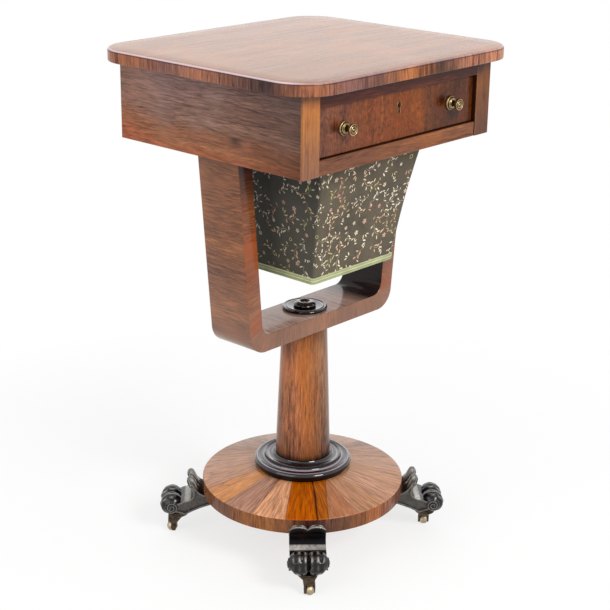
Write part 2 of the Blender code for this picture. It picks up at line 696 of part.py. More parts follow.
def make_castor(where, angle):
    """Plate under the foot, horn turning on its pintle, and a wheel on its axle, trailing behind."""
    swivel_place = (*polar(PLATFORM_RADIUS + SWIVEL_REACH, angle), 0)
    plate_top = CASTOR_HEIGHT - GAP
    plate_foot = plate_top - PLATE_THICKNESS
    bore = PINTLE_RADIUS + GAP
    plate = [(bore, plate_top), (PLATE_RADIUS, plate_top), (PLATE_RADIUS, plate_foot), (bore, plate_foot)]
    spot = Matrix.Translation(swivel_place)
    turned(f"castor_plate_{where}", "brass", plate, 16, ring=True, place=spot)
    swivel = empty(f"castor_swivel_{where}", swivel_place, TRAIL_ANGLES[where])
    axle_z = WHEEL_RADIUS * math.cos(math.pi / WHEEL_STEPS)
    roll = empty(f"castor_roll_{where}", (CASTOR_TRAIL, 0, axle_z), parent=swivel)

    head = plate_foot - GAP
    shoulder = head - HORN_HEAD_HEIGHT
    slot = WHEEL_WIDTH / 2 + GAP
    fork = slot + CHEEK_THICKNESS
    crown = axle_z + WHEEL_RADIUS + RUN_GAP
    toe = 3.5 * AXLE_RADIUS
    rings = [
        oval(CASTOR_TRAIL, 0.8 * toe, fork - GAP, axle_z - toe),
        oval(CASTOR_TRAIL, 1.2 * toe, fork, axle_z),
        oval(CASTOR_TRAIL, 1.2 * toe, fork, axle_z + toe),
        oval(CASTOR_TRAIL / 2, HORN_HEAD_RADIUS * 0.75, fork + GAP, (crown + shoulder) / 2),
        oval(0, HORN_HEAD_RADIUS, HORN_HEAD_RADIUS, shoulder),
        oval(0, HORN_HEAD_RADIUS, HORN_HEAD_RADIUS, head),
    ]
    horn = loft(f"castor_horn_{where}", "brass", rings, swivel, smooth=True)
    pin = [(0, CASTOR_HEIGHT + PINTLE_LENGTH), (PINTLE_RADIUS, CASTOR_HEIGHT + PINTLE_LENGTH)]
    pin += [(PINTLE_RADIUS, shoulder), (0, shoulder)]
    fuse(horn, turned(f"pintle_{where}", None, pin, 12, parent=swivel))
    wheel_room = WHEEL_RADIUS + 2 * RUN_GAP
    low = (CASTOR_TRAIL - wheel_room, -slot, -GAP)
    high = (CASTOR_TRAIL + wheel_room, slot, crown)
    cut(horn, board(f"wheel_slot_{where}", None, low, high, swivel))

    along = Matrix.Rotation(math.radians(90), 4, "X") @ Matrix.Rotation(math.pi / WHEEL_STEPS, 4, "Z")
    half = WHEEL_WIDTH / 2
    soft = WHEEL_RADIUS / 6
    tread = [(AXLE_RADIUS + GAP, half), (WHEEL_RADIUS - soft, half), (WHEEL_RADIUS, half - soft)]
    tread += [(radius, -z) for radius, z in reversed(tread)]
    turned(f"castor_wheel_{where}", "brass", tread, WHEEL_STEPS, ring=True, place=along, parent=roll)
    ends = [(0, fork - GAP), (AXLE_RADIUS, fork - GAP), (AXLE_RADIUS, GAP - fork), (0, GAP - fork)]
    turned(f"castor_axle_{where}", "iron", ends, 10, place=along, parent=roll)
    bore = [(0, 2 * fork), (AXLE_RADIUS + GAP, 2 * fork), (AXLE_RADIUS + GAP, -2 * fork), (0, -2 * fork)]
    cut(horn, turned(f"axle_bore_{where}", None, bore, 10, place=along, parent=roll))


def bag_half_size(z):
    """Half width and half depth of the bag's outside: it tapers, and its walls bow in a little."""
    frame_z = CASE_BOTTOM + FRAME_LIFT
    share = min(1.0, max(0.0, (frame_z - z) / BAG_DROP))
    bow = BAG_HOLLOW * 4 * share * (1 - share)
    width = BAG_TOP_WIDTH + (BAG_BOTTOM_WIDTH - BAG_TOP_WIDTH) * share
    depth = BAG_TOP_DEPTH + (BAG_BOTTOM_DEPTH - BAG_TOP_DEPTH) * share
    return width / 2 - bow, depth / 2 - bow


def make_bag():
    """The sliding frame with its show rail, and the stiff cloth-covered bag that hangs in it."""
    slide = empty("bag_slide")
    front_y = -CASE_Y + BAG_RAIL_RECESS
    rail_back = front_y + BAG_RAIL_THICKNESS
    rail_x = OPENING_X - RUN_GAP
    low = (-rail_x, front_y, CASE_BOTTOM)
    high = (rail_x, rail_back, CASE_BOTTOM + BAG_RAIL_HEIGHT)
    show_rail = board("bag_frame_front", "rosewood", low, high, slide)

    frame_z = CASE_BOTTOM + FRAME_LIFT
    frame_top = frame_z + FRAME_HEIGHT
    hole_x, hole_y = BAG_TOP_WIDTH / 2 + GAP, BAG_TOP_DEPTH / 2 + GAP
    back_y = hole_y + FRAME_BACK_WIDTH
    side_x = BEARER_INNER_X - RUN_GAP
    tongue_x = BEARER_INNER_X + TONGUE_REACH - GAP
    tongue_low = CASE_BOTTOM + TONGUE_LIFT
    section = [
        (hole_x, frame_z),
        (side_x, frame_z),
        (side_x, tongue_low),
        (tongue_x, tongue_low),
        (tongue_x, tongue_low + TONGUE_HEIGHT),
        (side_x, tongue_low + TONGUE_HEIGHT),
        (side_x, frame_top),
        (hole_x, frame_top),
    ]
    for side, sign in SIDES:
        outline = [(sign * x, z) for x, z in section]
        name = f"bag_frame_side_{side}"
        prism(name, "carcass_wood", outline, rail_back + GAP, back_y, slide)
    cross_x = hole_x - GAP
    low = (-cross_x, (front_y + rail_back) / 2, frame_z)
    fuse(show_rail, board("show_rail_ledge", None, low, (cross_x, -hole_y, frame_top), slide))
    low = (-cross_x, hole_y, frame_z)
    board("bag_frame_back", "carcass_wood", low, (cross_x, back_y, frame_top), slide)

    bottom = frame_z - BAG_DROP
    levels = [bottom + BAG_DROP * step / 4 for step in range(5)] + [frame_top]
    walls = {"front": [], "back": [], "left": [], "right": []}
    for z in levels:
        x, y = bag_half_size(z)
        inner_y = y - BAG_WALL - GAP
        walls["front"].append([(-x, -y, z), (x, -y, z), (x, BAG_WALL - y, z), (-x, BAG_WALL - y, z)])
        walls["back"].append([(-x, y, z), (x, y, z), (x, y - BAG_WALL, z), (-x, y - BAG_WALL, z)])
        for side, sign in SIDES:
            outer, inner = sign * x, sign * (x - BAG_WALL)
            ring = [(outer, -inner_y, z), (outer, inner_y, z), (inner, inner_y, z), (inner, -inner_y, z)]
            walls[side].append(ring)
    for where, rings in walls.items():
        loft(f"bag_wall_{where}", "bag_cloth", rings, slide)

    x, y = bag_half_size(bottom)
    inside = Vector((x - BAG_WALL - GAP, y - BAG_WALL - GAP, bottom + BAG_BASE_THICKNESS))
    board("bag_base", "bag_board", (-inside.x, -inside.y, bottom), inside, slide)
    make_braid(bottom, slide)


def make_braid(bottom, slide):
    """A flat braid sewn round the bottom of the bag, over its four walls."""
    bm = bmesh.new()
    loops = []
    top = bottom + BRAID_WIDTH
    for z, out in ((bottom, GAP), (bottom, GAP + BRAID_THICKNESS), (top, GAP + BRAID_THICKNESS), (top, GAP)):
        x, y = bag_half_size(z)
        x, y = x + out, y + out
        loops.append([bm.verts.new(point) for point in ((-x, -y, z), (x, -y, z), (x, y, z), (-x, y, z))])
    for first, second in zip(loops, loops[1:] + loops[:1]):
        for a in range(4):
            b = (a + 1) % 4
            bm.faces.new((first[a], first[b], second[b], second[a]))
    piece("bag_braid", "braid", bm, slide)


def drawer_box():
    """Faces of the drawer: half width, front, back of its front, back end, underside and top."""
    half = OPENING_X - RUN_GAP
    front = -CASE_Y + DRAWER_RECESS
    front_back = front + DRAWER_FRONT_THICKNESS
    end = BACK_INNER_Y - DRAWER_BACK_ROOM
    return half, front, front_back, end, DRAWER_FLOOR + GAP, DRAWER_OPENING_TOP - RUN_GAP


def bolt_box():
    """The lock's bolt at rest, with its top just under the drawer front's top edge."""
    _, _, front_back, _, _, top = drawer_box()
    middle = front_back - LOCK_DEPTH / 2
    low = Vector((-BOLT_WIDTH / 2, middle - BOLT_THICKNESS / 2, top - LOCK_TOP_DROP - BOLT_LENGTH))
    high = Vector((BOLT_WIDTH / 2, middle + BOLT_THICKNESS / 2, top - LOCK_TOP_DROP))
    return low, high


def keyhole_outline(z, radius, length, foot_width):
    """A round head over a straight foot, in X and Z."""
    spread = math.degrees(math.acos(foot_width / 2 / radius))
    outline = arc((0, z), radius, -spread, 180 + spread, 9)
    return outline + [(-foot_width / 2, z + radius - length), (foot_width / 2, z + radius - length)]


def make_drawer():
    """Drawer box with grooved sides, and its knobs, escutcheon and lock."""
    slide = empty("drawer_slide")
    half, front, front_back, end, low, top = drawer_box()
    panel = board("drawer_front", "rosewood", (-half, front, low), (half, front_back, top), slide)
    side_x = half - DRAWER_SIDE_INSET
    inner_x = side_x - DRAWER_SIDE_THICKNESS
    bottom_z = low + DRAWER_BOTTOM_LIFT
    bottom_top = bottom_z + DRAWER_BOTTOM_THICKNESS
    bottom_x = inner_x + GROOVE_DEPTH - GAP
    section = [
        (side_x, low),
        (side_x, top - DRAWER_SIDE_DROP),
        (inner_x, top - DRAWER_SIDE_DROP),
        (inner_x, bottom_top + GAP),
        (inner_x + GROOVE_DEPTH, bottom_top + GAP),
        (inner_x + GROOVE_DEPTH, bottom_z - GAP),
        (inner_x, bottom_z - GAP),
        (inner_x, low),
    ]
    for side, sign in SIDES:
        outline = [(sign * x, z) for x, z in section]
        prism(f"drawer_side_{side}", "carcass_wood", outline, front_back + GAP, end, slide)
    groove_y = front_back - GROOVE_DEPTH
    board(
        "drawer_bottom",
        "carcass_wood",
        (-bottom_x, groove_y + GAP, bottom_z),
        (bottom_x, end, bottom_top),
        slide,
    )
    groove_low = (-bottom_x - GAP, groove_y, bottom_z - GAP)
    groove_high = (bottom_x + GAP, front_back + GROOVE_DEPTH, bottom_top + GAP)
    cut(panel, board("bottom_groove", None, groove_low, groove_high, slide))
    back_x = inner_x - GAP
    board(
        "drawer_back",
        "carcass_wood",
        (-back_x, end - DRAWER_BACK_THICKNESS, bottom_top + GAP),
        (back_x, end, top - DRAWER_BACK_DROP),
        slide,
    )
    make_knobs(panel, slide)
    make_lock(panel, slide)


def make_knobs(panel, slide):
    """Brass knobs with roses, screwed into the drawer front by their shanks."""
    half, front, _, _, low, top = drawer_box()
    rose_foot = GAP
    rose = rose_foot + KNOB_ROSE_THICKNESS
    head = KNOB_PROJECTION
    head_foot = head - KNOB_HEAD_THICKNESS
    ring = KNOB_HEAD_THICKNESS / 6
    profile = [
        (0, head - ring),
        (KNOB_RADIUS * 0.35, head),
        (KNOB_RADIUS * 0.55, head - ring),
        (KNOB_RADIUS * 0.80, head),
        (KNOB_RADIUS, head - 2 * ring),
        (KNOB_RADIUS * 0.92, head_foot + ring),
        (KNOB_NECK_RADIUS, head_foot),
        (KNOB_NECK_RADIUS, rose + ring),
        (KNOB_ROSE_RADIUS * 0.75, rose),
        (KNOB_ROSE_RADIUS, rose_foot + ring),
        (KNOB_ROSE_RADIUS, rose_foot),
        (SHANK_RADIUS, rose_foot),
        (SHANK_RADIUS, -SHANK_LENGTH),
        (0, -SHANK_LENGTH),
    ]
    bore, depth = SHANK_RADIUS + GAP, -SHANK_LENGTH - GAP
    hole = [(0, head), (bore, head), (bore, depth), (0, depth)]
    out = Matrix.Rotation(math.radians(90), 4, "X")
    for side, sign in SIDES:
        place = Matrix.Translation((sign * (half - KNOB_INSET), front, (low + top) / 2)) @ out
        turned(f"knob_{side}", "brass", profile, 24, place=place, parent=slide)
        cut(panel, turned(f"knob_hole_{side}", None, hole, 12, place=place, parent=slide))


def make_lock(panel, slide):
    """Escutcheon let into the front, lock case let into its back, and a bolt that rises."""
    _, front, front_back, _, low, top = drawer_box()
    key_z = (low + top) / 2 + KEYHOLE_RISE + ESCUTCHEON_HEIGHT / 2 - ESCUTCHEON_RADIUS
    shield = (ESCUTCHEON_RADIUS, ESCUTCHEON_HEIGHT, ESCUTCHEON_FOOT_WIDTH)
    seat_y = front + ESCUTCHEON_THICKNESS
    name = "keyhole_escutcheon"
    plate = prism(name, "brass", keyhole_outline(key_z, *shield), front - GAP, seat_y - GAP, slide)
    wider = [value + 2 * GAP for value in shield]
    wider[0] -= GAP
    recess = keyhole_outline(key_z, *wider)
    cut(panel, prism("escutcheon_recess", None, recess, front - KNOB_PROJECTION, seat_y, slide))
    hole = keyhole_outline(key_z, KEYHOLE_RADIUS, KEYHOLE_LENGTH, KEYHOLE_SLOT)
    lock_y = front_back - LOCK_DEPTH
    through = prism("keyhole", None, hole, front - KNOB_PROJECTION, lock_y + GAP, slide)
    cut(plate, through)
    cut(panel, through)

    lock_top = top - LOCK_TOP_DROP
    half = LOCK_WIDTH / 2
    case_low = Vector((-half, lock_y, lock_top - LOCK_HEIGHT))
    case = board("lock_case", "brass", case_low, (half, front_back, lock_top), slide)
    room = Vector((GAP, GAP, GAP))
    mouth = (half + GAP, front_back + KNOB_PROJECTION, top + KNOB_PROJECTION)
    cut(panel, board("lock_recess", None, case_low - room, mouth, slide))
    bolt_low, bolt_high = bolt_box()
    board("lock_bolt", "iron", bolt_low, bolt_high, slide)
    cut(case, board("bolt_slot", None, bolt_low - room, bolt_high + room, slide))


make_top()
make_case()
make_yoke()
make_column()
make_platform()
for place_name, foot_angle in FOOT_ANGLES.items():
    make_foot(place_name, foot_angle)
    make_castor(place_name, foot_angle)
make_bag()
make_drawer()
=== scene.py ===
import math
from functools import partial

import bmesh
import bpy
from mathutils import Matrix, Vector


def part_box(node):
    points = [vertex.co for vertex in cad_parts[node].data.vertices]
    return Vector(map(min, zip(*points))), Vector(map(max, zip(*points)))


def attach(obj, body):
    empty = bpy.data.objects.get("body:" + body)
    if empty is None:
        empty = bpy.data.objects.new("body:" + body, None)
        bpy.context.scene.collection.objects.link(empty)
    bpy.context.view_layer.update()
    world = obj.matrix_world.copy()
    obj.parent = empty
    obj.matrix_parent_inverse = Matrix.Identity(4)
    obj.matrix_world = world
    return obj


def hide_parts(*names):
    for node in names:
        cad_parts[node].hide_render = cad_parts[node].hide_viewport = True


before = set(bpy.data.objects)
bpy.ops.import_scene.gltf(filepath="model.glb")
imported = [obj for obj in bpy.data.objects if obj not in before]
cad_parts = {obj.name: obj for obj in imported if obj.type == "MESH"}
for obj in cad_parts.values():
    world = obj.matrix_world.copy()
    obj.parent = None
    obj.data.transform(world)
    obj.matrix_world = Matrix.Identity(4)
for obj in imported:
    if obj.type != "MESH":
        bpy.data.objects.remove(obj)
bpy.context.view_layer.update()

# Castors. Small cast-brass furniture castors, gone dark with age: a plate screwed under the
# foot, a forked horn that turns on its pintle, and a turned brass wheel on an iron pin.
TRAIL_ANGLES = {"front_left": -123, "front_right": 44, "back_right": 75, "back_left": 161}
WHEEL_RADIUS, WHEEL_BORE, WHEEL_HALF, WHEEL_EASING = 0.0079, 0.0018, 0.0055, 0.0005
HORN_ARRIS, MERGE_GAP = 0.0005, 1e-7


class Reading:
    """A value at each point of a surface, from a node's socket; sums with it add Math nodes."""

    def __init__(self, socket):
        self.socket = socket
        self.tree = socket.id_data

    def __add__(self, other):
        return summed("ADD", self, other)

    def __radd__(self, other):
        return summed("ADD", other, self)

    def __sub__(self, other):
        return summed("SUBTRACT", self, other)

    def __rsub__(self, other):
        return summed("SUBTRACT", other, self)

    def __mul__(self, other):
        return summed("MULTIPLY", self, other)

    def __truediv__(self, other):
        return summed("DIVIDE", self, other)

    def __mod__(self, other):
        return summed("FLOORED_MODULO", self, other)

    def __gt__(self, other):
        return summed("GREATER_THAN", self, other)

    def __lt__(self, other):
        return summed("LESS_THAN", self, other)

    def __abs__(self):
        return summed("ABSOLUTE", self)


def add_node(tree, kind, inputs, **settings):
    """A node with its settings made and its inputs linked or filled in."""
    made = tree.nodes.new(kind)
    for key, value in settings.items():
        setattr(made, key, value)
    for key, value in inputs.items():
        if isinstance(value, Reading):
            tree.links.new(value.socket, made.inputs[key])
        else:
            made.inputs[key].default_value = value
    return made


def read(kind, inputs=None, output=0, tree=None, **settings):
    """A new node's output; the node stands in the given tree, or in that of its first reading."""
    inputs = inputs or {}
    tree = tree or next(value.tree for value in inputs.values() if isinstance(value, Reading))
    return Reading(add_node(tree, kind, inputs, **settings).outputs[output])


def summed(operation, first, second=0.0):
    return read("ShaderNodeMath", {0: first, 1: second}, operation=operation)


def stretched(place, scale, turn=0.0, shift=(0, 0, 0)):
    """A place on the piece, turned about Z, with each axis of the pattern drawn in or out."""
    values = {"Vector": place, "Scale": scale, "Rotation": (0, 0, turn), "Location": shift}
    return read("ShaderNodeMapping", values)


def noise_of(place, scale=1.0, detail=4.0, roughness=0.55, distortion=0.0):
    values = {"Vector": place, "Scale": scale, "Detail": detail, "Roughness": roughness}
    return read("ShaderNodeTexNoise", values | {"Distortion": distortion})


def ranged(value, low, high, to_low, to_high):
    values = {"Value": value, "From Min": low, "From Max": high, "To Min": to_low, "To Max": to_high}
    return read("ShaderNodeMapRange", values)


def tint(red, green, blue):
    """A colour given as a painter reads it, 0 to 255, in the linear values that a shader takes."""
    shares = [part / 255 for part in (red, green, blue)]
    linear = [share / 12.92 if share <= 0.04045 else ((share + 0.055) / 1.055) ** 2.4 for share in shares]
    return (*linear, 1.0)


def colour_of(value):
    """A painter's three numbers as a shader colour; readings and shader colours stay as they are."""
    return tint(*value) if isinstance(value, tuple) and len(value) == 3 else value


def mixed(share, first, second, blend="MIX"):
    values = {0: share, 6: colour_of(first), 7: colour_of(second)}
    return read("ShaderNodeMix", values, 2, data_type="RGBA", blend_type=blend)


def new_finish(name):
    """A fresh material with its shader, and the place on the piece that its patterns read."""
    made = bpy.data.materials.new(name)
    made.use_nodes = True
    place = read("ShaderNodeTexCoord", output="Object", tree=made.node_tree)
    return made, made.node_tree.nodes["Principled BSDF"], place


def dress(shader, colour, roughness, height, strength, depth, fixed):
    """Colour, roughness and bump go to the shader as readings, and what is the same all over as numbers."""
    bump = read("ShaderNodeBump", {"Height": height, "Strength": strength, "Distance": depth})
    for name, reading in (("Base Color", colour), ("Roughness", roughness), ("Normal", bump)):
        reading.tree.links.new(reading.socket, shader.inputs[name])
    for name, value in fixed.items():
        shader.inputs[name].default_value = value


def aged_metal(name, bright, tarnish, tarnished, smooth):
    """Handled metal: bright where it is rubbed, dull and brown where it isn't, with fine scratches."""
    made, shader, place = new_finish(name)
    specks = noise_of(place, 900.0, 3.0, 0.6)
    dull = ranged(noise_of(place, 140.0, 6.0, 0.65, 0.4) + specks * 0.35, 0.48, 0.86, 0.0, 1.0)
    colour = mixed(dull * tarnished, bright, tarnish)
    roughness = ranged(dull, 0.0, 1.0, smooth, smooth + 0.22)
    dress(shader, colour, roughness, specks, 0.12, 0.0003, {"Metallic": 1.0})
    return made


def add_piece(name, bm, finishes, smooth_angle=40.0, outward=True):
    """Turns a finished bmesh into a piece at the origin, shaded smooth except over sharp edges."""
    if outward:
        bmesh.ops.recalc_face_normals(bm, faces=bm.faces)
    mesh = bpy.data.meshes.new(name)
    bm.to_mesh(mesh)
    bm.free()
    mesh.shade_smooth()
    mesh.set_sharp_from_angle(angle=math.radians(smooth_angle))
    for finish in finishes:
        mesh.materials.append(finish)
    made = bpy.data.objects.new(name, mesh)
    bpy.context.scene.collection.objects.link(made)
    return made


def seat(piece, body, slot, *nodes):
    """The piece rides on its body and stands for its CAD nodes, which it hides; the slot is not used."""
    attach(piece, body)
    if nodes:
        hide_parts(*nodes)


def turn_on_lathe(bm, profile, steps, place=Matrix()):
    """A turned solid about Z from its half profile, which runs from the top down the outside."""
    angles = [2 * math.pi * step / steps for step in range(steps)]
    rings = []
    for radius, z in profile:
        if radius == 0:
            rings.append([bm.verts.new(place @ Vector((0, 0, z)))] * steps)
            continue
        spots = [Vector((radius * math.cos(a), radius * math.sin(a), z)) for a in angles]
        rings.append([bm.verts.new(place @ spot) for spot in spots])
    for upper, lower in zip(rings, rings[1:]):
        for a in range(steps):
            corners = (upper[a], lower[a], lower[a - 1], upper[a - 1])
            bm.faces.new(list(dict.fromkeys(corners)))


def turned_piece(name, profile, steps, finishes, smooth_angle=30.0, place=Matrix()):
    bm = bmesh.new()
    turn_on_lathe(bm, profile, steps, place)
    bmesh.ops.remove_doubles(bm, verts=bm.verts, dist=MERGE_GAP)
    return add_piece(name, bm, finishes, smooth_angle)


def eased(points, radius, count=4, closed=False):
    """An outline with its corners rounded, as far as the lengths beside each one allow."""
    rounded = []
    last = len(points) - 1
    for spot, point in enumerate(points):
        if not closed and spot in (0, last):
            rounded.append(tuple(point))
            continue
        here = Vector(point)
        before, after = Vector(points[spot - 1]) - here, Vector(points[(spot + 1) % len(points)]) - here
        reach = min(radius, before.length * 0.45, after.length * 0.45)
        start, end = here + before.normalized() * reach, here + after.normalized() * reach
        for step in range(count + 1):
            t = step / count
            rounded.append(tuple((1 - t) ** 2 * start + 2 * t * (1 - t) * here + t * t * end))
    return rounded


def eased_board(node, finish, arris, body, slot, box_edges=True):
    """A CAD board with its outer edges eased by hand, in the board's place; the eased faces are
    marked as worn. Only edges on the board's box are eased, unless box_edges is off."""
    bm = bmesh.new()
    bm.from_mesh(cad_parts[node].data)
    bmesh.ops.remove_doubles(bm, verts=bm.verts, dist=1e-6)
    bmesh.ops.dissolve_limit(bm, angle_limit=math.radians(1.0), verts=bm.verts, edges=bm.edges)
    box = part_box(node)

    def planes(vert):
        ends = [(axis, end) for axis in range(3) for end in (0, 1)]
        return {(axis, end) for axis, end in ends if abs(vert.co[axis] - box[end][axis]) < 1e-5}

    sharp = [edge for edge in bm.edges if edge.is_manifold and edge.calc_face_angle() > math.radians(30)]
    if box_edges:
        sharp = [edge for edge in sharp if len(planes(edge.verts[0]) & planes(edge.verts[1])) >= 2]
    pale_mark = bm.faces.layers.float.new("arris")
    easing = {"offset": arris, "segments": 2, "profile": 0.5, "affect": "EDGES", "clamp_overlap": True}
    for face in bmesh.ops.bevel(bm, geom=sharp, **easing)["faces"]:
        face[pale_mark] = 1.0
    made = add_piece(node + "_eased", bm, [finish], 32.0)
    for face, mark in zip(made.data.polygons, made.data.attributes["arris"].data):
        face.use_smooth = mark.value > 0.5
    seat(made, body, slot, node)


def refinish(finish, *nodes):
    """CAD pieces whose shape is right keep it and take a better finish."""
    for node in nodes:
        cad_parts[node].material_slots[0].material = finish


pale_brass = aged_metal("wheel_brass", (204, 190, 160), (122, 106, 80), 0.9, 0.38)
dark_brass = aged_metal("castor_brass", (98, 84, 68), (44, 37, 31), 1.0, 0.38)
pin_iron = aged_metal("pin_iron", (120, 112, 104), (60, 42, 30), 0.9, 0.38)
hub = [(WHEEL_BORE, WHEEL_HALF), (0.0034, WHEEL_HALF), (0.0038, WHEEL_HALF - 0.0008)]
hub += [(0.0046, WHEEL_HALF - 0.0009), (0.0051, WHEEL_HALF - 0.0002)]
tread = [(0.0064, 0.82), (0.0073, 0.60), (0.0078, 0.36), (WHEEL_RADIUS, 0.12)]
wheel_side = hub + [(radius, WHEEL_HALF * share) for radius, share in tread]
wheel_profile = wheel_side + [(radius, -z) for radius, z in reversed(wheel_side)] + wheel_side[:1]
for where, trail_angle in TRAIL_ANGLES.items():
    low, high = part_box(f"castor_wheel_{where}")
    trail = Matrix.Rotation(math.radians(trail_angle), 4, "Z")
    axle = Matrix.Translation((low + high) / 2) @ (trail @ Matrix.Rotation(math.radians(90), 4, "X"))
    profile = eased(wheel_profile, WHEEL_EASING, 2)
    wheel = turned_piece(f"castor_wheel_turned_{where}", profile, 48, [pale_brass], 40.0, axle)
    seat(wheel, f"wheel_{where}", "brass", f"castor_wheel_{where}")
    eased_board(f"castor_horn_{where}", dark_brass, HORN_ARRIS, f"castor_{where}", "brass", box_edges=False)
    refinish(dark_brass, f"castor_plate_{where}")
    refinish(pin_iron, f"castor_axle_{where}")

# Feet. Four scroll feet carved in beech and ebonised: a broad twin-lobed volute over the
# castor, a hollow with a seat painted pale as wear and highlight, and a curled leaf tip that leans
# out from the platform's rim.
FOOT_ANGLES = {"front_left": -135, "front_right": -45, "back_right": 45, "back_left": 135}
FOOT_FLOOR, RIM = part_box("foot_front_left")[0].z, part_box("platform")[1].x
RIM_GAP, TAIL, TAIL_TOP, FOOT_STATIONS = RIM + 0.0003, 0.105, 0.0684, 61
SOLE_STEPS, VOLUTE_POINTS, LEAF_POINTS = 8, 48, 20
VOLUTE, VOLUTE_RADIUS, VOLUTE_WIDTH = (0.197, 0.0487), 0.0168, 0.0520
HOLLOW = [(0.1828, 0.0577), (0.1790, 0.0585), (0.1745, 0.0596), (0.1698, 0.0611), (0.1662, 0.0638)]
HOLLOW += [(0.1645, 0.0680), (0.1645, 0.0730), (0.1664, 0.0785), (0.1705, 0.0832)]
LEAF, LEAF_RADIUS, LEAF_ROOT, LEAF_WIDTH = (0.1686, 0.0882), 0.0054, (0.1640, 0.0762), 0.051
EAR_BACK = [(0.1622, 0.0880), (0.1602, 0.0840), (0.1584, 0.0795), (0.1566, 0.0750), (0.1540, 0.0715)]
UNDERSIDE_WIDTH, HEEL_WIDTH, RIB, RIB_DEPTH = 0.042, 0.036, 0.0024, 0.0018
SCROLL_RADIUS, SCROLL_DOME, SCROLL_TURNS, COIL_STEPS = VOLUTE_RADIUS * 0.60, 0.0038, 2.0, 48
# The pale of bare wood; on the feet it also stands for painted highlights.
BARE_WOOD_AND_HIGHLIGHT = (208, 202, 192)


def attribute(place, name):
    return read("ShaderNodeAttribute", output="Fac", tree=place.tree, attribute_name=name)


def ebonised_wood(name, body, paler, smooth, polish):
    """Black stain under a shellac polish, rubbed brown here and there, with the grain just showing;
    where the piece carries pale marks, it goes towards bare pale wood, for wear and painted highlights."""
    made, shader, place = new_finish(name)
    cloud = noise_of(place, 34.0, 5.0, 0.6, 0.5)
    grain = noise_of(stretched(place, (260, 260, 30)), 1.0, 4.0, 0.6)
    colour = mixed(ranged(cloud, 0.52, 0.76, 0.0, 0.7), body, paler)
    bare_and_highlight = attribute(place, "pale_mark") * ranged(noise_of(place, 210.0, 4.0, 0.6), 0.30, 0.62, 0.45, 1.0)
    roughness = ranged(cloud, 0.3, 0.7, smooth, smooth + 0.12)
    fixed = {"Specular IOR Level": 0.10, "Coat Weight": polish, "Coat Roughness": 0.05}
    dress(shader, mixed(bare_and_highlight, colour, BARE_WOOD_AND_HIGHLIGHT), roughness, grain + cloud, 0.08, 0.0006, fixed)
    return made


def circle_points(centre, radius, start, end, count):
    angles = [math.radians(start + (end - start) * step / (count - 1)) for step in range(count)]
    return [(centre[0] + radius * math.cos(a), centre[1] + radius * math.sin(a)) for a in angles]


def bearing(centre, point):
    return math.degrees(math.atan2(point[1] - centre[1], point[0] - centre[0]))


def eased_step(value, low, high):
    share = min(1.0, max(0.0, (value - low) / (high - low)))
    return share * share * (3 - 2 * share)


def foot_section():
    """The foot from the side, as radius, height, width there, part, and share along that part. It
    runs out along the sole, round the volute, up the hollow, over the leaf and down behind its ear."""
    tail, bend, heel = Vector((TAIL, 0.0574)), Vector((RIM, 0.0495)), Vector((0.177, FOOT_FLOOR))
    section = []
    for step in range(SOLE_STEPS + 1):
        t = step / SOLE_STEPS
        r, z = (1 - t) ** 2 * tail + 2 * t * (1 - t) * bend + t * t * heel
        section.append((r, z, UNDERSIDE_WIDTH + (HEEL_WIDTH - UNDERSIDE_WIDTH) * t, "sole", t))
    volute = circle_points(VOLUTE, VOLUTE_RADIUS, -90, bearing(VOLUTE, HOLLOW[0]), VOLUTE_POINTS)
    for step, (r, z) in enumerate(volute):
        swell = math.sin(math.pi / 2 * min(1.0, step / 18))
        width = HEEL_WIDTH + (VOLUTE_WIDTH - HEEL_WIDTH) * swell
        section.append((r, z, width, "volute", step / (VOLUTE_POINTS - 1)))
    hollow = eased(HOLLOW, 0.0024, 2)
    for step, (r, z) in enumerate(hollow[1:-1]):
        section.append((r, z, VOLUTE_WIDTH, "hollow", (step + 1) / (len(hollow) - 1)))
    leaf = circle_points(LEAF, LEAF_RADIUS, bearing(LEAF, HOLLOW[-1]), 140, LEAF_POINTS)
    for part, points in (("leaf", leaf), ("ear", EAR_BACK)):
        section += [(r, z, LEAF_WIDTH, part, step / (len(points) - 1)) for step, (r, z) in enumerate(points)]
    section.append((None, TAIL_TOP, VOLUTE_WIDTH, "back", 0.5))
    section.append((TAIL, TAIL_TOP, UNDERSIDE_WIDTH, "back", 1.0))
    return section


def pulled(centre, r, z, share):
    return centre[0] + (r - centre[0]) * share, centre[1] + (z - centre[1]) * share


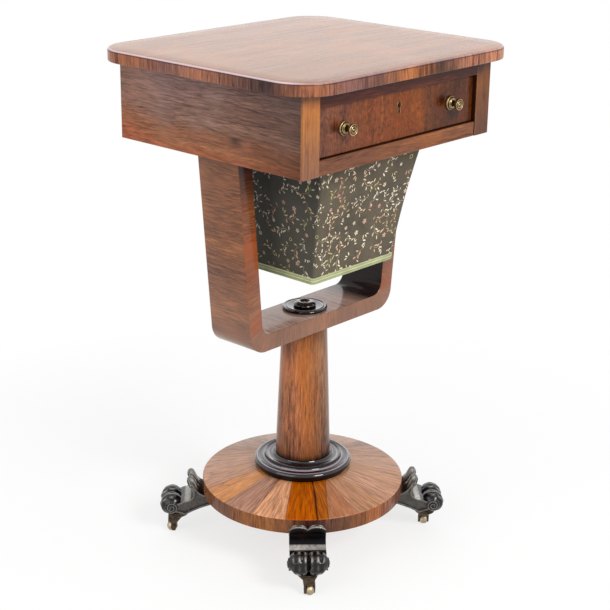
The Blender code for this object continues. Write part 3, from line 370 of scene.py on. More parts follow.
def carved(part, share, station, r, z):
    """Where a point of the section comes to lie across the foot, and how pale it is marked there: two
    lobes with a groove between them, fluted knuckles on the volute, and twin arches with ribs on
    the leaf and its ear. The marks are wear and painted highlights: on the flute crests, most in a band
    that faces up and out, on the leaf's crest and ribs, and in a band of the hollow above the volute."""
    across = abs(station)
    dip = 1 - math.sin(math.pi * across)
    if part == "volute":
        swell = math.sin(math.pi * share) ** 0.6
        knuckles = 0.52 + 0.48 * math.cos(2 * math.pi * share * 5.2)
        flutes = (math.cos(6 * math.pi * across + math.pi) - 0.4) * (1 - across**4) * knuckles * swell
        full = 1 - (0.26 if across < 0.5 else 0.16) * dip**2 - 0.25 * across**6 + 0.075 * flutes
        # Painted highlight: the flutes are marked paler in a band that faces up and out.
        paler = eased_step(share, 0.42, 0.54) * (1 - eased_step(share, 0.76, 0.90))
        return *pulled(VOLUTE, r, z, full), (0.26 + 1.15 * paler) * max(0.0, flutes)
    if part not in ("hollow", "leaf", "ear"):
        return r, z, 0.0
    ribs = 0.5 - 0.5 * math.cos(4 * math.pi * across)
    if part == "hollow":
        reach = eased_step(share, 0.70, 1.0)
        # The seat above the volute: pale as dust and wear, and as a painted highlight brighter to one side.
        wear_and_highlight = (0.76 - 0.24 * station) * eased_step(share, 0.10, 0.18) * (1 - eased_step(share, 0.34, 0.46))
    elif part == "leaf":
        reach = 1.0
        # A painted highlight along the leaf's crest; its ribs are pale as wear and highlight.
        crest = eased_step(share, 0.50, 0.55) * (1 - eased_step(share, 0.58, 0.64))
        wear_and_highlight = max(0.64 * crest, (0.12 + 0.56 * ribs**2) * eased_step(share, 0.62, 0.72))
    else:
        reach = 1 - eased_step(share, 0.3, 1.0)
        wear_and_highlight = (0.12 + 0.56 * ribs**2) * (1 - eased_step(share, 0.3, 0.9))
    pull = 1 - (0.38 * dip**1.2 + 0.03 * (1 - ribs)) * reach
    return *pulled(LEAF_ROOT, r, z, pull), wear_and_highlight


def drawn_in(outline, distance):
    """An outline moved inwards by a distance; it runs anticlockwise."""
    moved = []
    for spot, point in enumerate(outline):
        before, after = Vector(outline[spot - 1]), Vector(outline[(spot + 1) % len(outline)])
        along_it = (after - before).normalized()
        moved.append((point[0] - along_it.y * distance, point[1] + along_it.x * distance))
    return moved


def skin(bm, rows):
    """Faces from row to row of points that close on themselves, as (row, spot in the row, face)."""
    made = []
    for k, (near, far) in enumerate(zip(rows, rows[1:])):
        for a in range(len(near)):
            made.append((k, a, bm.faces.new((near[a - 1], near[a], far[a], far[a - 1]))))
    return made


def carve_foot(bm):
    """The foot's skin from side to side, with a rib left standing round each side's sunk face."""
    section = foot_section()
    pale_mark = bm.verts.layers.float.new("pale_mark")
    rows = []
    for step in range(FOOT_STATIONS):
        station = math.sin(math.pi * (step / (FOOT_STATIONS - 1) - 0.5))
        row = []
        for r, z, width, part, share in section:
            across = station * width / 2
            r = math.sqrt(RIM_GAP**2 - across**2) if r is None else r
            r, z, wear_and_highlight = carved(part, share, station, r, z)
            row.append(bm.verts.new((r, across, z)))
            row[-1][pale_mark] = wear_and_highlight
        rows.append(row)
    for row, side in ((rows[0], -1), (rows[-1], 1)):
        inner = drawn_in([(vert.co.x, vert.co.z) for vert in row], RIB)
        rim = [bm.verts.new((r, vert.co.y, z)) for vert, (r, z) in zip(row, inner)]
        sunk = [bm.verts.new((r, vert.co.y - side * RIB_DEPTH, z)) for vert, (r, z) in zip(row, inner)]
        # The side ribs are marked pale, as wear and painted highlights.
        for verts, wear_and_highlight in ((row, 0.22), (rim, 0.30), (sunk, 0.12)):
            for vert in verts:
                vert[pale_mark] = max(vert[pale_mark], wear_and_highlight)
        rows = [sunk, rim] + rows if side < 0 else rows + [rim, sunk]
    # Painted shade: the upper hollow and the underside of the leaf's curl take the second, darker and dull
    # finish.
    for _, a, face in skin(bm, rows):
        part, share = section[a][3:]
        shaded = share > 0.46 if part == "hollow" else share < 0.48
        face.material_index = 1 if part in ("hollow", "leaf") and shaded else 0
    bm.faces.new(rows[0])
    bm.faces.new(rows[-1])


def carve_scroll_end(bm, side):
    """The end of the volute: a domed boss with a ribbon of moulding coiled on it, pale on its crest as
    wear and a painted highlight.
    """
    pale_mark = bm.verts.layers.float["pale_mark"]
    across = side * (VOLUTE_WIDTH / 2 - 0.0004)
    facing = Matrix.Rotation(math.radians(-90 * side), 4, "X")
    out = Matrix.Translation((VOLUTE[0], across, VOLUTE[1])) @ facing
    shares = (0, 0.25, 0.5, 0.7, 0.86, 0.96)
    boss = [(SCROLL_RADIUS * share, SCROLL_DOME * (1 - share**2)) for share in shares]
    boss += [(SCROLL_RADIUS, -0.0006), (SCROLL_RADIUS * 0.9, -0.005), (0, -0.005)]
    turn_on_lathe(bm, boss, 32, out)
    rings = []
    for step in range(COIL_STEPS + 1):
        t = step / COIL_STEPS
        angle = 2 * math.pi * SCROLL_TURNS * t + math.pi / 3
        reach = SCROLL_RADIUS * (0.88 - 0.74 * t)
        thick = SCROLL_RADIUS * (0.120 - 0.045 * t)
        height = SCROLL_DOME * (1 - (reach / SCROLL_RADIUS) ** 2)
        spoke = Vector((math.cos(angle), side * math.sin(angle), 0))
        ring = []
        for part in range(8):
            turn = 2 * math.pi * part / 8
            rise = Vector((0, 0, height + thick * math.sin(turn)))
            ring.append(bm.verts.new(out @ (spoke * (reach + thick * math.cos(turn)) + rise)))
            # The ribbon's outer half is marked pale, as wear and a painted highlight.
            ring[-1][pale_mark] = 0.26 * max(0.0, math.sin(turn))
        rings.append(ring)
    skin(bm, rings)
    bm.faces.new(rings[0])
    bm.faces.new(rings[-1])


ebony = ebonised_wood("ebonised_feet", (14, 11, 12), (50, 35, 30), 0.10, 0.45)
# A darker, unpolished copy of the ebony: painted shade for the hollow under the leaf.
shaded_ebony = ebonised_wood("ebonised_foot_painted_shade", (9, 7, 7), (34, 18, 15), 0.24, 0.0)
for where, foot_angle in FOOT_ANGLES.items():
    bm = bmesh.new()
    carve_foot(bm)
    carve_scroll_end(bm, -1)
    carve_scroll_end(bm, 1)
    bm.transform(Matrix.Rotation(math.radians(foot_angle), 4, "Z"))
    foot = add_piece(f"foot_carved_{where}", bm, [ebony, shaded_ebony], 50.0)
    seat(foot, "table", "ebonised", f"foot_{where}")

# Platform. A thick disc of built-up wood, coned on top, veneered in radial wedges of rosewood
# with the grain running outwards, and cross-banded round its edge.
PLATFORM_BOTTOM, PLATFORM_TOP = [corner.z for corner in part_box("platform")]
PLATFORM_EDGE_TOP, SEAT_RADIUS, TENON_RADIUS = 0.0916, 0.0725, 0.0203
WEDGE, FIRST_WEDGE, PLANK_ANGLE = math.radians(20), math.radians(-146), math.radians(-138)
VENEERS = {"flame": (192, 98, 0), "amber": (214, 150, 92), "deep": (188, 144, 122), "rose": (224, 168, 128)}
VENEERS |= {"brown": (186, 128, 92), "tan": (194, 146, 112), "pale": (200, 154, 124), "strip": (184, 104, 24)}
WEDGES = "rose brown tan pale tan pale tan pale tan pale pale pale tan pale pale amber deep rose".split()
WEDGE_PATTERN = ((168, 138, 124), (232, 222, 214), (252, 246, 240))
PLANK_SIDES = {"left": (-0.0091, -0.087), "vein": (0.0090, 0.086), "right": (0.0314, 0.048)}
BAND_PATTERN = ((126, 94, 82), (226, 214, 204), (255, 248, 240))
RIM_TONES = [(150, 98, 62), (172, 116, 66), (92, 58, 54), (120, 82, 60)]
RIM_TONES += [(188, 116, 64), (120, 80, 70), (164, 108, 66), (134, 88, 58)]


def ramp_of(value, stops, blend="LINEAR"):
    """Colours along a value, as (place, colour) stops."""
    made = add_node(value.tree, "ShaderNodeValToRGB", {0: value})
    made.color_ramp.interpolation = blend
    points = made.color_ramp.elements
    while len(points) < len(stops):
        points.new(0.5)
    for point, (place, colour) in zip(points, stops):
        point.position, point.color = place, colour_of(colour)
    return Reading(made.outputs[0])


def laid_tones(share, tones, blend="CONSTANT"):
    """Lengths of veneer laid side by side: each takes its own tone along a value from 0 to 1."""
    return ramp_of(share, [(spot / len(tones), tone) for spot, tone in enumerate(tones)], blend)


def blended(first, second, share):
    """One colour between two others, for where it is the same all over."""
    return tuple(a + (b - a) * share for a, b in zip(colour_of(first), colour_of(second)))


def scaled(colour, by):
    return read("ShaderNodeVectorMath", {0: colour, "Scale": by}, operation="SCALE")


def length_of(place):
    return read("ShaderNodeVectorMath", {0: place}, 1, operation="LENGTH")


def split(place):
    """The three parts of a place, one along each axis."""
    return [Reading(part) for part in add_node(place.tree, "ShaderNodeSeparateXYZ", {0: place}).outputs]


def french_polish(shader, colour, streaks, height, gloss, shine=0.21, coat=0.0, coat_gloss=0.03):
    """A clear skin over the wood, a little duller along the open streaks."""
    roughness = ranged(streaks, 0.3, 0.7, gloss, gloss + 0.12)
    fixed = {"Specular IOR Level": shine, "Coat Weight": coat, "Coat Roughness": coat_gloss}
    dress(shader, colour, roughness, height, 0.06, 0.0004, fixed)


def figured(place, tones, grain, lines=0.5, pores=0.35, seed=0.0, hair=0.34):
    """Rosewood's figure: broad bands, streaks, growth lines, a few black veins and open pores."""
    dark, middle, light = tones

    def grained(spot, with_grain, over_grain, *detail):
        scale = [with_grain if axis == grain else over_grain for axis in "XYZ"]
        return noise_of(stretched(spot, scale, shift=(seed, seed * 0.7, seed * 1.3)), 1.0, *detail)

    wander = (grained(place, 8, 8, 2.0, 0.5) - 0.5) * 0.014
    wandering = read("ShaderNodeVectorMath", {0: place, 1: wander}, operation="ADD")
    bands = grained(wandering, 2.2, 30, 3.0, 0.5, 0.2)
    streaks = grained(wandering, 4.5, 190, 5.0, 0.7, 0.1)
    fine = grained(wandering, 30, 440, 4.0, 0.75)
    fibre = grained(place, 60, 1500, 3.0, 0.6)
    value = bands * 0.42 + streaks * 0.32 + fine * 0.26
    colour = ramp_of(value, [(0.385, dark), (0.475, middle), (0.535, middle), (0.630, light)])
    growth = summed("FRACT", bands * 16.0)
    colour = mixed(ranged(growth, 0.45, 1.0, 0.0, lines * 0.55), colour, dark)
    vein = ranged(abs(bands - 0.56), 0.0, 0.010, lines, 0.0)
    colour = mixed(vein, colour, blended(dark, (16, 8, 6), 0.8))
    colour = mixed(ranged(fibre, 0.36, 0.46, pores, 0.0), colour, dark, "MULTIPLY")
    return scaled(colour, ranged(fine, 0.36, 0.64, 1.0 - hair, 1.0 + hair)), bands, streaks, fibre


def platform_veneer():
    """Wedges by angle round the column, each with its own tone and a dark glue line at its sides.
    A bright plank, broader than they are, faces the front foot, with a strip pieced in beside it
    along a black vein; each side of the plank starts off-centre and leans out by a share."""
    made, shader, place = new_finish("platform_wedges")
    x, y, _ = split(place)
    angle = summed("ARCTAN2", y, x)
    count = (angle - FIRST_WEDGE) / WEDGE % len(WEDGES)
    index = summed("FLOOR", count)
    run = {0: length_of(stretched(place, (1, 1, 0))), 1: angle * 0.11, 2: index * 0.37}
    run = read("ShaderNodeCombineXYZ", run)
    colour, bands, streaks, fibre = figured(run, WEDGE_PATTERN, "X", 0.3, 0.2, hair=0.30)
    tone = laid_tones((index + 0.5) / len(WEDGES), [VENEERS[name] for name in WEDGES])
    ahead, aside, _ = split(stretched(place, (1, 1, 1), -PLANK_ANGLE))
    aside = aside + (bands - 0.5) * 0.010
    past = {side: aside - (ahead * lean + offset) for side, (offset, lean) in PLANK_SIDES.items()}
    facing = ahead > 0.0
    front = (past["left"] > 0.0) * (past["right"] < 0.0) * facing
    plank = mixed(past["vein"] > 0.0, VENEERS["flame"], VENEERS["strip"])
    colour = mixed(1.0, colour, mixed(front, tone, plank), "MULTIPLY")
    veins = noise_of(stretched(run, (7, 95, 1), shift=(3, 8, 0)), 1.0, 3.0, 0.55, 0.6)
    colour = mixed(ranged(abs(veins - 0.5), 0.0, 0.05, 0.35, 0.0) * front, colour, (64, 28, 8))
    colour = mixed(ranged(abs(past["vein"]), 0.0003, 0.0022, 0.95, 0.0) * front, colour, (30, 11, 5))
    glue = ranged(abs(count - index - 0.5), 0.487, 0.497, 0.0, 0.5) * (1.0 - front)
    for side in ("left", "right"):
        seam = ranged(abs(past[side]), 0.0002, 0.0007, 0.6, 0.0)
        glue = summed("MAXIMUM", glue, seam * facing)
    french_polish(shader, mixed(glue, colour, (52, 26, 14)), streaks, fibre + glue, 0.17)
    return made


def run_of(place):
    """The piece's UV map "run", in metres: along the piece or round its edge, and across it."""
    return read("ShaderNodeUVMap", tree=place.tree, uv_map="run")


def banding(name, laid, start, length, seed, pale_mark=None):
    """Cross-banding: lengths of veneer with the grain upright, each drifting into the next one's
    tone. A pale colour, if given, is painted on the rounded upper arris as a highlight, over a dark line."""
    made, shader, place = new_finish(name)
    run = run_of(place)
    wobble = noise_of(stretched(run, (90, 30, 1)), 1.0, 3.0) * 0.030
    share = (split(run)[0] - (start + 0.015) + wobble) / length % 1.0
    colour, _, streaks, fibre = figured(run, BAND_PATTERN, "Y", 0.6, 0.35, seed)
    colour = mixed(1.0, colour, laid_tones(share, laid, "LINEAR"), "MULTIPLY")
    if pale_mark:
        up = split(read("ShaderNodeNewGeometry", output="Normal", tree=place.tree))[2]
        # A dark line lower on the roll of the arris.
        dark_line = ranged(up, 0.06, 0.20, 0.0, 0.7) * ranged(up, 0.34, 0.48, 1.0, 0.0)
        colour = mixed(dark_line, colour, (46, 26, 32))
        # Painted highlight on the upper arris, strongest at the top's left end.
        bright = ranged(split(place)[0], -0.215, -0.200, 0.85, 0.30)
        colour = mixed(ranged(up, 0.40, 0.62, 0.0, 1.0) * bright, colour, pale_mark)
    french_polish(shader, colour, streaks, fibre, 0.16)
    return made


def map_round_rim(mesh):
    """Writes the UV map "run": for each corner, the distance round the rim, and the height."""
    layer = mesh.uv_layers.new(name="run")
    lap = 2 * math.pi * RIM
    for face in mesh.polygons:
        spots = [mesh.vertices[vert].co for vert in face.vertices]
        rounds = [math.atan2(spot.y, spot.x) * RIM for spot in spots]
        for corner, spot, reach in zip(face.loop_indices, spots, rounds):
            layer.data[corner].uv = (reach - lap * round((reach - rounds[0]) / lap), spot.z)


wedges = platform_veneer()
rim_band = banding("platform_banding", RIM_TONES * 2, -math.pi * RIM, 2 * math.pi * RIM, 3.0)
profile = [(TENON_RADIUS, PLATFORM_TOP), (SEAT_RADIUS, PLATFORM_TOP), (RIM, PLATFORM_EDGE_TOP)]
profile += [(RIM, PLATFORM_BOTTOM), (TENON_RADIUS, PLATFORM_BOTTOM)]
profile = eased(profile, 0.0016, 4) + profile[:1]
platform = turned_piece("platform_veneered", profile, 144, [wedges, rim_band])
for face in platform.data.polygons:
    on_rim = face.center.z < PLATFORM_EDGE_TOP - 0.0008 and face.normal.z > -0.5
    face.material_index = 1 if on_rim else 0
map_round_rim(platform.data)
seat(platform, "table", "rosewood", "platform")

# Collar. An ebonised beech ring turned like a saucer: a half-round rim, a dished channel and an
# inner crest. It drops over the column's tenon and hides the joint with the platform.
COLLAR_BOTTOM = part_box("column_collar")[0].z
# Rings whose upward faces are painted pale as highlight lines.
HIGHLIGHT_RINGS = ((0.0512, 0.0530), (0.0576, 0.0598), (0.0672, 0.0690))
LIT_SLOPE = 0.30


def paint_light_by_facing(piece, rings):
    """Faces that look up take the piece's second finish, paler and glossier, as painted light; the
    others keep the first, darker and dull, as painted shade. In the rings, upward faces take the third,
    painted pale as highlights."""
    for face in piece.data.polygons:
        if face.normal.z > LIT_SLOPE:
            reach = math.hypot(face.center.x, face.center.y)
            face.material_index = 2 if any(low < reach < high for low, high in rings) else 1


# Copies of one ebonised finish by facing: painted shade, painted light, and a pale painted highlight.
shaded_black = ebonised_wood("ebonised_painted_shade", (16, 8, 8), (44, 22, 18), 0.14, 0.15)
lit_black = ebonised_wood("ebonised_lit_polish", (24, 14, 17), (60, 38, 40), 0.05, 1.0)
highlight_pale = ebonised_wood("ebonised_painted_highlight", (146, 132, 142), (168, 150, 156), 0.06, 1.0)
turned_finishes = [shaded_black, lit_black, highlight_pale]
profile = [(TENON_RADIUS, 0.1300), (0.0416, 0.1300), (0.0424, 0.1288), (0.0440, 0.1272), (0.0468, 0.1262)]
profile += [(0.0500, 0.1263), (0.0528, 0.1273), (0.0546, 0.1286), (0.0556, 0.1291), (0.0565, 0.1288)]
profile += [(0.0569, 0.1278), (0.0570, 0.1258), (0.0578, 0.1242), (0.0596, 0.1228), (0.0622, 0.1221)]
profile += [(0.0646, 0.1223), (0.0664, 0.1232)] + circle_points((0.0664, 0.1178), 0.0058, 78, -70, 20)
profile += [(0.0676, COLLAR_BOTTOM), (TENON_RADIUS, COLLAR_BOTTOM)]
collar = turned_piece("collar_turned", profile + profile[:1], 128, turned_finishes)
paint_light_by_facing(collar, HIGHLIGHT_RINGS)
seat(collar, "table", "ebonised", "column_collar")

# Column. A plain tapered pillar turned from solid rosewood, tenoned into the platform below
# and the yoke above. Its streaks run up and down.
COLUMN_BOTTOM, COLUMN_TOP, COLUMN_FOOT_RADIUS, COLUMN_NECK_RADIUS = 0.1303, 0.3319, 0.0408, 0.0331
SPOT_STRETCH, OPENING_HALF = (1.0, 0.6, 1.6), 0.1800
ACROSS, BACKWARDS, UPWARDS = (1, 0, 0), (0, 1, 0), (0, 0, 1)


def along(place, direction):
    return read("ShaderNodeVectorMath", {0: place, 1: direction}, 1, operation="DOT_PRODUCT")


def rosewood(
    name, tones, grain, seed, lines=0.5, pores=0.35, gloss=0.14, patch=0.3, shine=0.21, hair=0.34,
    drifts=(), shades=(), dark_spots=(), burr=0.0, shadow_behind=None,
):
    """Polished rosewood with its grain along X, Y or Z, paler in patches and on worn arrises.
    A drift gives a direction, two places along it, a share, and the tones between those places;
    a shade gives a direction, two places along it and how dark it is at each.
    Faces further back than the given depth, in the drawer's opening, take painted shadow; burr adds curls."""
    made, shader, place = new_finish(name)
    colour, bands, streaks, fibre = figured(place, tones, grain, lines, pores, seed, hair)
    shift = (seed * 0.3, seed * 0.9, seed * 0.5)
    broad = noise_of(stretched(place, (11, 11, 11), shift=shift), 1.0, 2.0, 0.5)
    colour = mixed(ranged(broad, 0.48, 0.66, 0.0, patch), colour, tones[2])
    for direction, start, end, share, stops in drifts:
        waver = (bands + broad - 1.0) * (0.5 * abs(end - start))
        tone = ramp_of(ranged(along(place, direction) + waver, start, end, 0.0, 1.0), stops)
        tone = mixed(1.0, mixed(1.0, colour, tones[1], "DIVIDE"), tone, "MULTIPLY")
        colour = mixed(share, colour, tone)
    for direction, start, end, low, high in shades:
        waver = (streaks - 0.5) * abs(end - start)
        colour = scaled(colour, ranged(along(place, direction) + waver, start, end, low, high))
    for centre, size in dark_spots:
        scale = [stretch / size for stretch in SPOT_STRETCH]
        spot = stretched(place, scale, shift=[-by * part for by, part in zip(scale, centre)])
        ragged = length_of(spot) + (streaks - 0.5) * 3.0
        colour = mixed(ranged(ragged, 0.35, 1.3, 0.75, 0.0), colour, (38, 20, 15))
    if burr:
        curls = noise_of(stretched(place, (130, 130, 95), shift=shift), 1.0, 6.0, 0.80, 1.2)
        colour = scaled(colour, ranged(curls, 0.34, 0.66, 1.0 - burr, 1.0 + burr))
    colour = mixed(attribute(place, "arris") * 0.35, colour, tones[2])
    # Painted shadow: faces set back in the drawer's opening go nearly black, less so further in.
    if shadow_behind:
        x, y, _ = split(place)
        shadowed = ranged(y, shadow_behind, shadow_behind + 0.0012, 0.0, 0.9)
        shadowed = shadowed * ranged(y, shadow_behind + 0.010, shadow_behind + 0.016, 1.0, 0.35)
        within = ranged(abs(x), OPENING_HALF, OPENING_HALF + 0.0002, 1.0, 0.0)
        colour = mixed(shadowed * within, colour, (26, 12, 9))
    french_polish(shader, colour, streaks, fibre, gloss, shine)
    return made


# Painted shade and reflection: along the camera's right-hand direction the column darkens to both edges and
# greys near the right one.
shade_across_column = [(0.0, (138, 88, 64)), (0.20, (196, 124, 86)), (0.52, (174, 98, 40))]
shade_across_column += [(0.72, (148, 92, 54)), (0.88, (142, 110, 86)), (1.0, (100, 74, 56))]
# Painted shadow: darker at the column's top under the yoke, and at its foot above the collar.
shadow_under_yoke = (UPWARDS, 0.296, 0.330, 1.0, 0.62)
shade_above_collar = [(UPWARDS, 0.131, 0.182, 0.48, 1.0), (UPWARDS, 0.1305, 0.1385, 0.22, 1.0)]
column_wood = rosewood(
    "column_rosewood", ((78, 40, 22), (144, 88, 50), (182, 112, 56)), "Z", 1.0, 0.25,
    drifts=[((0.675, -0.738, 0), -0.036, 0.036, 0.60, shade_across_column)], shades=[shadow_under_yoke] + shade_above_collar,
)
neck, base = Vector((COLUMN_NECK_RADIUS, COLUMN_TOP)), Vector((COLUMN_FOOT_RADIUS, COLUMN_BOTTOM))
rounded = eased([(0, COLUMN_TOP), neck, base, (0, COLUMN_BOTTOM)], 0.0014, 4)
shaft = [tuple(neck.lerp(base, step / 10)) for step in range(1, 10)]
column = turned_piece("column_turned", rounded[:6] + shaft + rounded[6:], 112, [column_wood])
seat(column, "table", "rosewood", "column")

# Yoke. A U of built-up wood veneered across the grain: a cross rail over the column, two
# rounded knees and two leaning uprights, tenoned together and into the case above.
YOKE_BOTTOM, CROSS_RAIL_TOP = [corner.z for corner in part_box("yoke_cross_rail")]
CASE_BOTTOM, CASE_TOP = [corner.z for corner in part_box("side_panel_left")]
YOKE_HALF_DEPTH, YOKE_BOARD, YOKE_LEAN, YOKE_TOP_X = 0.038, 0.0245, math.radians(5.31), 0.1745
RAIL_HALF, YOKE_GAP, SEAM, YOKE_ARRIS, ARRIS_STEPS = 0.072, 0.0003, 0.4972, 0.0009, 3
OUTER_KNEE, INNER_KNEE, KNEE_POINTS, RISE_STEPS = 0.030, 0.018, 18, 8


def outer_x(z):
    return YOKE_TOP_X - (CASE_BOTTOM - z) * math.tan(YOKE_LEAN)


def inner_x(z):
    return outer_x(z) - YOKE_BOARD / math.cos(YOKE_LEAN)


def knee_line(edge_x, floor_z, radius):
    """One side of a knee: from the cross rail, round the bend and up to the seam."""
    middle = edge_x(floor_z) - radius * (1 - math.sin(YOKE_LEAN)) / math.cos(YOKE_LEAN)
    bend = circle_points((middle, floor_z + radius), radius, -90, -math.degrees(YOKE_LEAN), KNEE_POINTS)
    rise = (SEAM - bend[-1][1]) / RISE_STEPS
    heights = [bend[-1][1] + rise * step for step in range(1, RISE_STEPS + 1)]
    return [(RAIL_HALF + YOKE_GAP, floor_z)] + bend + [(edge_x(z), z) for z in heights]


def outer_veneer():
    """Veneer laid across the yoke: it varies along the yoke's length, greyer by the knees, oranger on
    the front edges, with painted shadow dark at their tops and painted shade darker under the case."""
    made, shader, place = new_finish("yoke_rosewood")
    run = run_of(place)
    tones = ((72, 36, 22), (126, 76, 46), (162, 102, 58))
    colour, _, streaks, fibre = figured(run, tones, "Y", 0.35, 0.3, 5.0)
    broad = noise_of(stretched(run, (13, 9, 1), shift=(5, 5, 0)), 1.0, 2.0, 0.5)
    colour = mixed(ranged(broad, 0.50, 0.70, 0.0, 0.5), colour, tones[2])
    _, depth, height = split(place)
    colour = mixed(ranged(height, 0.36, 0.47, 0.45, 0.0), colour, (136, 106, 92))
    edge = ranged(depth, 0.0002 - YOKE_HALF_DEPTH, 0.0012 - YOKE_HALF_DEPTH, 1.0, 0.0)
    above = ranged(height, CROSS_RAIL_TOP + 0.001, CROSS_RAIL_TOP + 0.012, 0.0, 1.0)
    colour = mixed(edge * ranged(broad, 0.42, 0.62, 0.15, 0.75) * above, colour, (146, 66, 24))
    # Painted shadow: the front edges go dark purple towards their tops, and the yoke darker under the case.
    colour = mixed(edge * ranged(height, 0.552, 0.600, 0.0, 0.88), colour, (38, 18, 24))
    colour = scaled(colour, ranged(height + broad * 0.02, 0.602, 0.622, 1.0, 0.55))
    french_polish(shader, colour, streaks, fibre, 0.14, coat=0.3, coat_gloss=0.08)
    return made


def inner_veneer():
    """The yoke's inside: pale on the rail's top as painted reflection, painted nearly black as shade up
    the arms and on the right knee.
    """
    made, shader, place = new_finish("yoke_inside")
    # The pale tones are a painted reflection on the rail's top.
    tones = ((128, 98, 90), (164, 134, 122), (182, 154, 142))
    colour, _, streaks, fibre = figured(run_of(place), tones, "Y", 0.2, 0.2, 31.0, 0.2)
    across, _, height = split(place)
    # Painted shade: nearly black on the right knee and up both arms.
    right = ranged(across, 0.070, 0.104, 0.0, 0.96)
    above = ranged(height, CROSS_RAIL_TOP + 0.004, CROSS_RAIL_TOP + 0.022, 0.0, 0.96)
    colour = mixed(summed("MAXIMUM", right, above), colour, (16, 7, 11))
    french_polish(shader, colour, streaks, fibre, 0.12, 0.10, 0.2, 0.06)
    return made


def distances_round(points):
    """How far round a closed outline each of its points lies, and last its whole length."""
    reached = [0.0]
    for point, after in zip(points, points[1:] + points[:1]):
        reached.append(reached[-1] + (Vector(after) - Vector(point)).length)
    return reached


def map_run(layer, face, k, a, count, place_of):
    """Writes the UV map of one face of a skin; its last face round ends at the full length."""
    end = a or count
    for loop, spot in zip(face.loops, ((k, end - 1), (k, end), (k + 1, end), (k + 1, end - 1))):
        loop[layer].uv = place_of(*spot)


def yoke_part(part, outer, inner, start, node):
    """A length of the yoke through matched outer and inner points, with eased long edges; the
    second finish goes on the inner face, between the ring's third and fourth corners."""
    bm = bmesh.new()
    layer = bm.loops.layers.uv.new("run")
    rows, runs, middles = [], [start], []
    for (ox, oz), (ix, iz) in zip(outer, inner):
        through = Vector((ix - ox, 0, iz - oz))
        half, thick = YOKE_HALF_DEPTH, through.length
        ring = [(0, -half), (0, half), (thick, half), (thick, -half)]
        ring = eased(ring, YOKE_ARRIS, ARRIS_STEPS, closed=True)
        unit = through.normalized()
        rows.append([bm.verts.new(Vector((ox, y, oz)) + unit * d) for d, y in ring])
        middles.append(Vector(((ox + ix) / 2, (oz + iz) / 2)))
    for near, far in zip(middles, middles[1:]):
        runs.append(runs[-1] + (far - near).length)
    across = distances_round([vert.co for vert in rows[0]])
    for k, a, face in skin(bm, rows):
        face.material_index = 1 if a == 3 * (ARRIS_STEPS + 1) else 0
        map_run(layer, face, k, a, len(rows[0]), lambda row, spot: (runs[row], across[spot]))
    for row, run in ((rows[0], runs[0]), (rows[-1], runs[-1])):
        for loop in bm.faces.new(row).loops:
            loop[layer].uv = (run, loop.vert.co.y)
    seat(add_piece(part, bm, yoke_wood, 30.0), "table", "rosewood", node)


yoke_wood = [outer_veneer(), inner_veneer()]
spots = [RAIL_HALF * (step / 6 - 1) for step in range(13)]
rail_lines = [[(x, z) for x in spots] for z in (YOKE_BOTTOM, CROSS_RAIL_TOP)]
yoke_part("yoke_cross_rail_veneered", *rail_lines, 0.0, "yoke_cross_rail")
rise = (CASE_BOTTOM - SEAM - 2 * YOKE_GAP) / RISE_STEPS
heights = [SEAM + YOKE_GAP + rise * step for step in range(RISE_STEPS + 1)]
knee_lines = [knee_line(outer_x, YOKE_BOTTOM, OUTER_KNEE), knee_line(inner_x, CROSS_RAIL_TOP, INNER_KNEE)]
upright_lines = [[(edge_x(z), z) for z in heights] for edge_x in (outer_x, inner_x)]
for side, sign, start in (("left", -1, 0.31), ("right", 1, 0.93)):
    for part, lines, reach in (("knee", knee_lines, start), ("upright", upright_lines, start + 0.30)):
        outer, inner = [[(sign * x, z) for x, z in line] for line in lines]
        yoke_part(f"yoke_{part}_veneered_{side}", outer, inner, reach, f"yoke_{part}_{side}")

# Cap. A small ebonised turning pegged on the cross rail over the column: a flat disc with a
# rounded rim and a low ring knob with a dimple.
CAP_FOOT = CROSS_RAIL_TOP + 0.0003
# Rings on the cap whose upward faces are painted pale as highlight lines.
CAP_RINGS = ((0.0082, 0.0094), (0.0250, 0.0264))
profile = [(0, 0.0088), (0.0016, 0.0088), (0.0026, 0.0080), (0.0042, 0.0078), (0.0058, 0.0090)]
profile += [(0.0074, 0.0103), (0.0090, 0.0106), (0.0108, 0.0103), (0.0132, 0.0092), (0.0152, 0.0074)]
profile += [(0.0162, 0.0056), (0.0158, 0.0042), (0.0146, 0.0034), (0.0160, 0.0034), (0.0200, 0.0038)]
profile += [(0.0240, 0.0042), (0.0262, 0.0046), (0.0272, 0.0044), (0.0280, 0.0036)]
profile += circle_points((0.0302, 0.0023), 0.0023, 125, -85, 12) + [(0, 0)]
profile = [(reach, CAP_FOOT + rise) for reach, rise in eased(profile, 0.0008, 2)]
cap = turned_piece("cap_turned", profile, 96, turned_finishes)
paint_light_by_facing(cap, CAP_RINGS)
seat(cap, "table", "ebonised", "column_cap")

# Case. Sides and back of built-up wood under rosewood veneer, with pale upright stiles and a
# rail over the drawer. Bearers and kickers of plain wood guide the drawer and the bag frame.
CASE_ARRIS, BEHIND_FACE = 0.0007, -0.1672


def plain_wood(name, pale, deep, grain, seed):
    """Unpolished carcass wood, dusty and a little stained, with open grain."""
    made, shader, place = new_finish(name)
    tones = (deep, blended(pale, deep, 0.35), pale)
    colour, _, streaks, fibre = figured(place, tones, grain, 0.12, 0.25, seed)
    stain = noise_of(place, 13.0, 4.0, 0.6, 0.6)
    colour = mixed(ranged(stain, 0.5, 0.75, 0.0, 0.45), colour, deep)
    dress(shader, colour, ranged(streaks, 0.3, 0.7, 0.55, 0.75), streaks + fibre, 0.15, 0.0005, {})
    return made


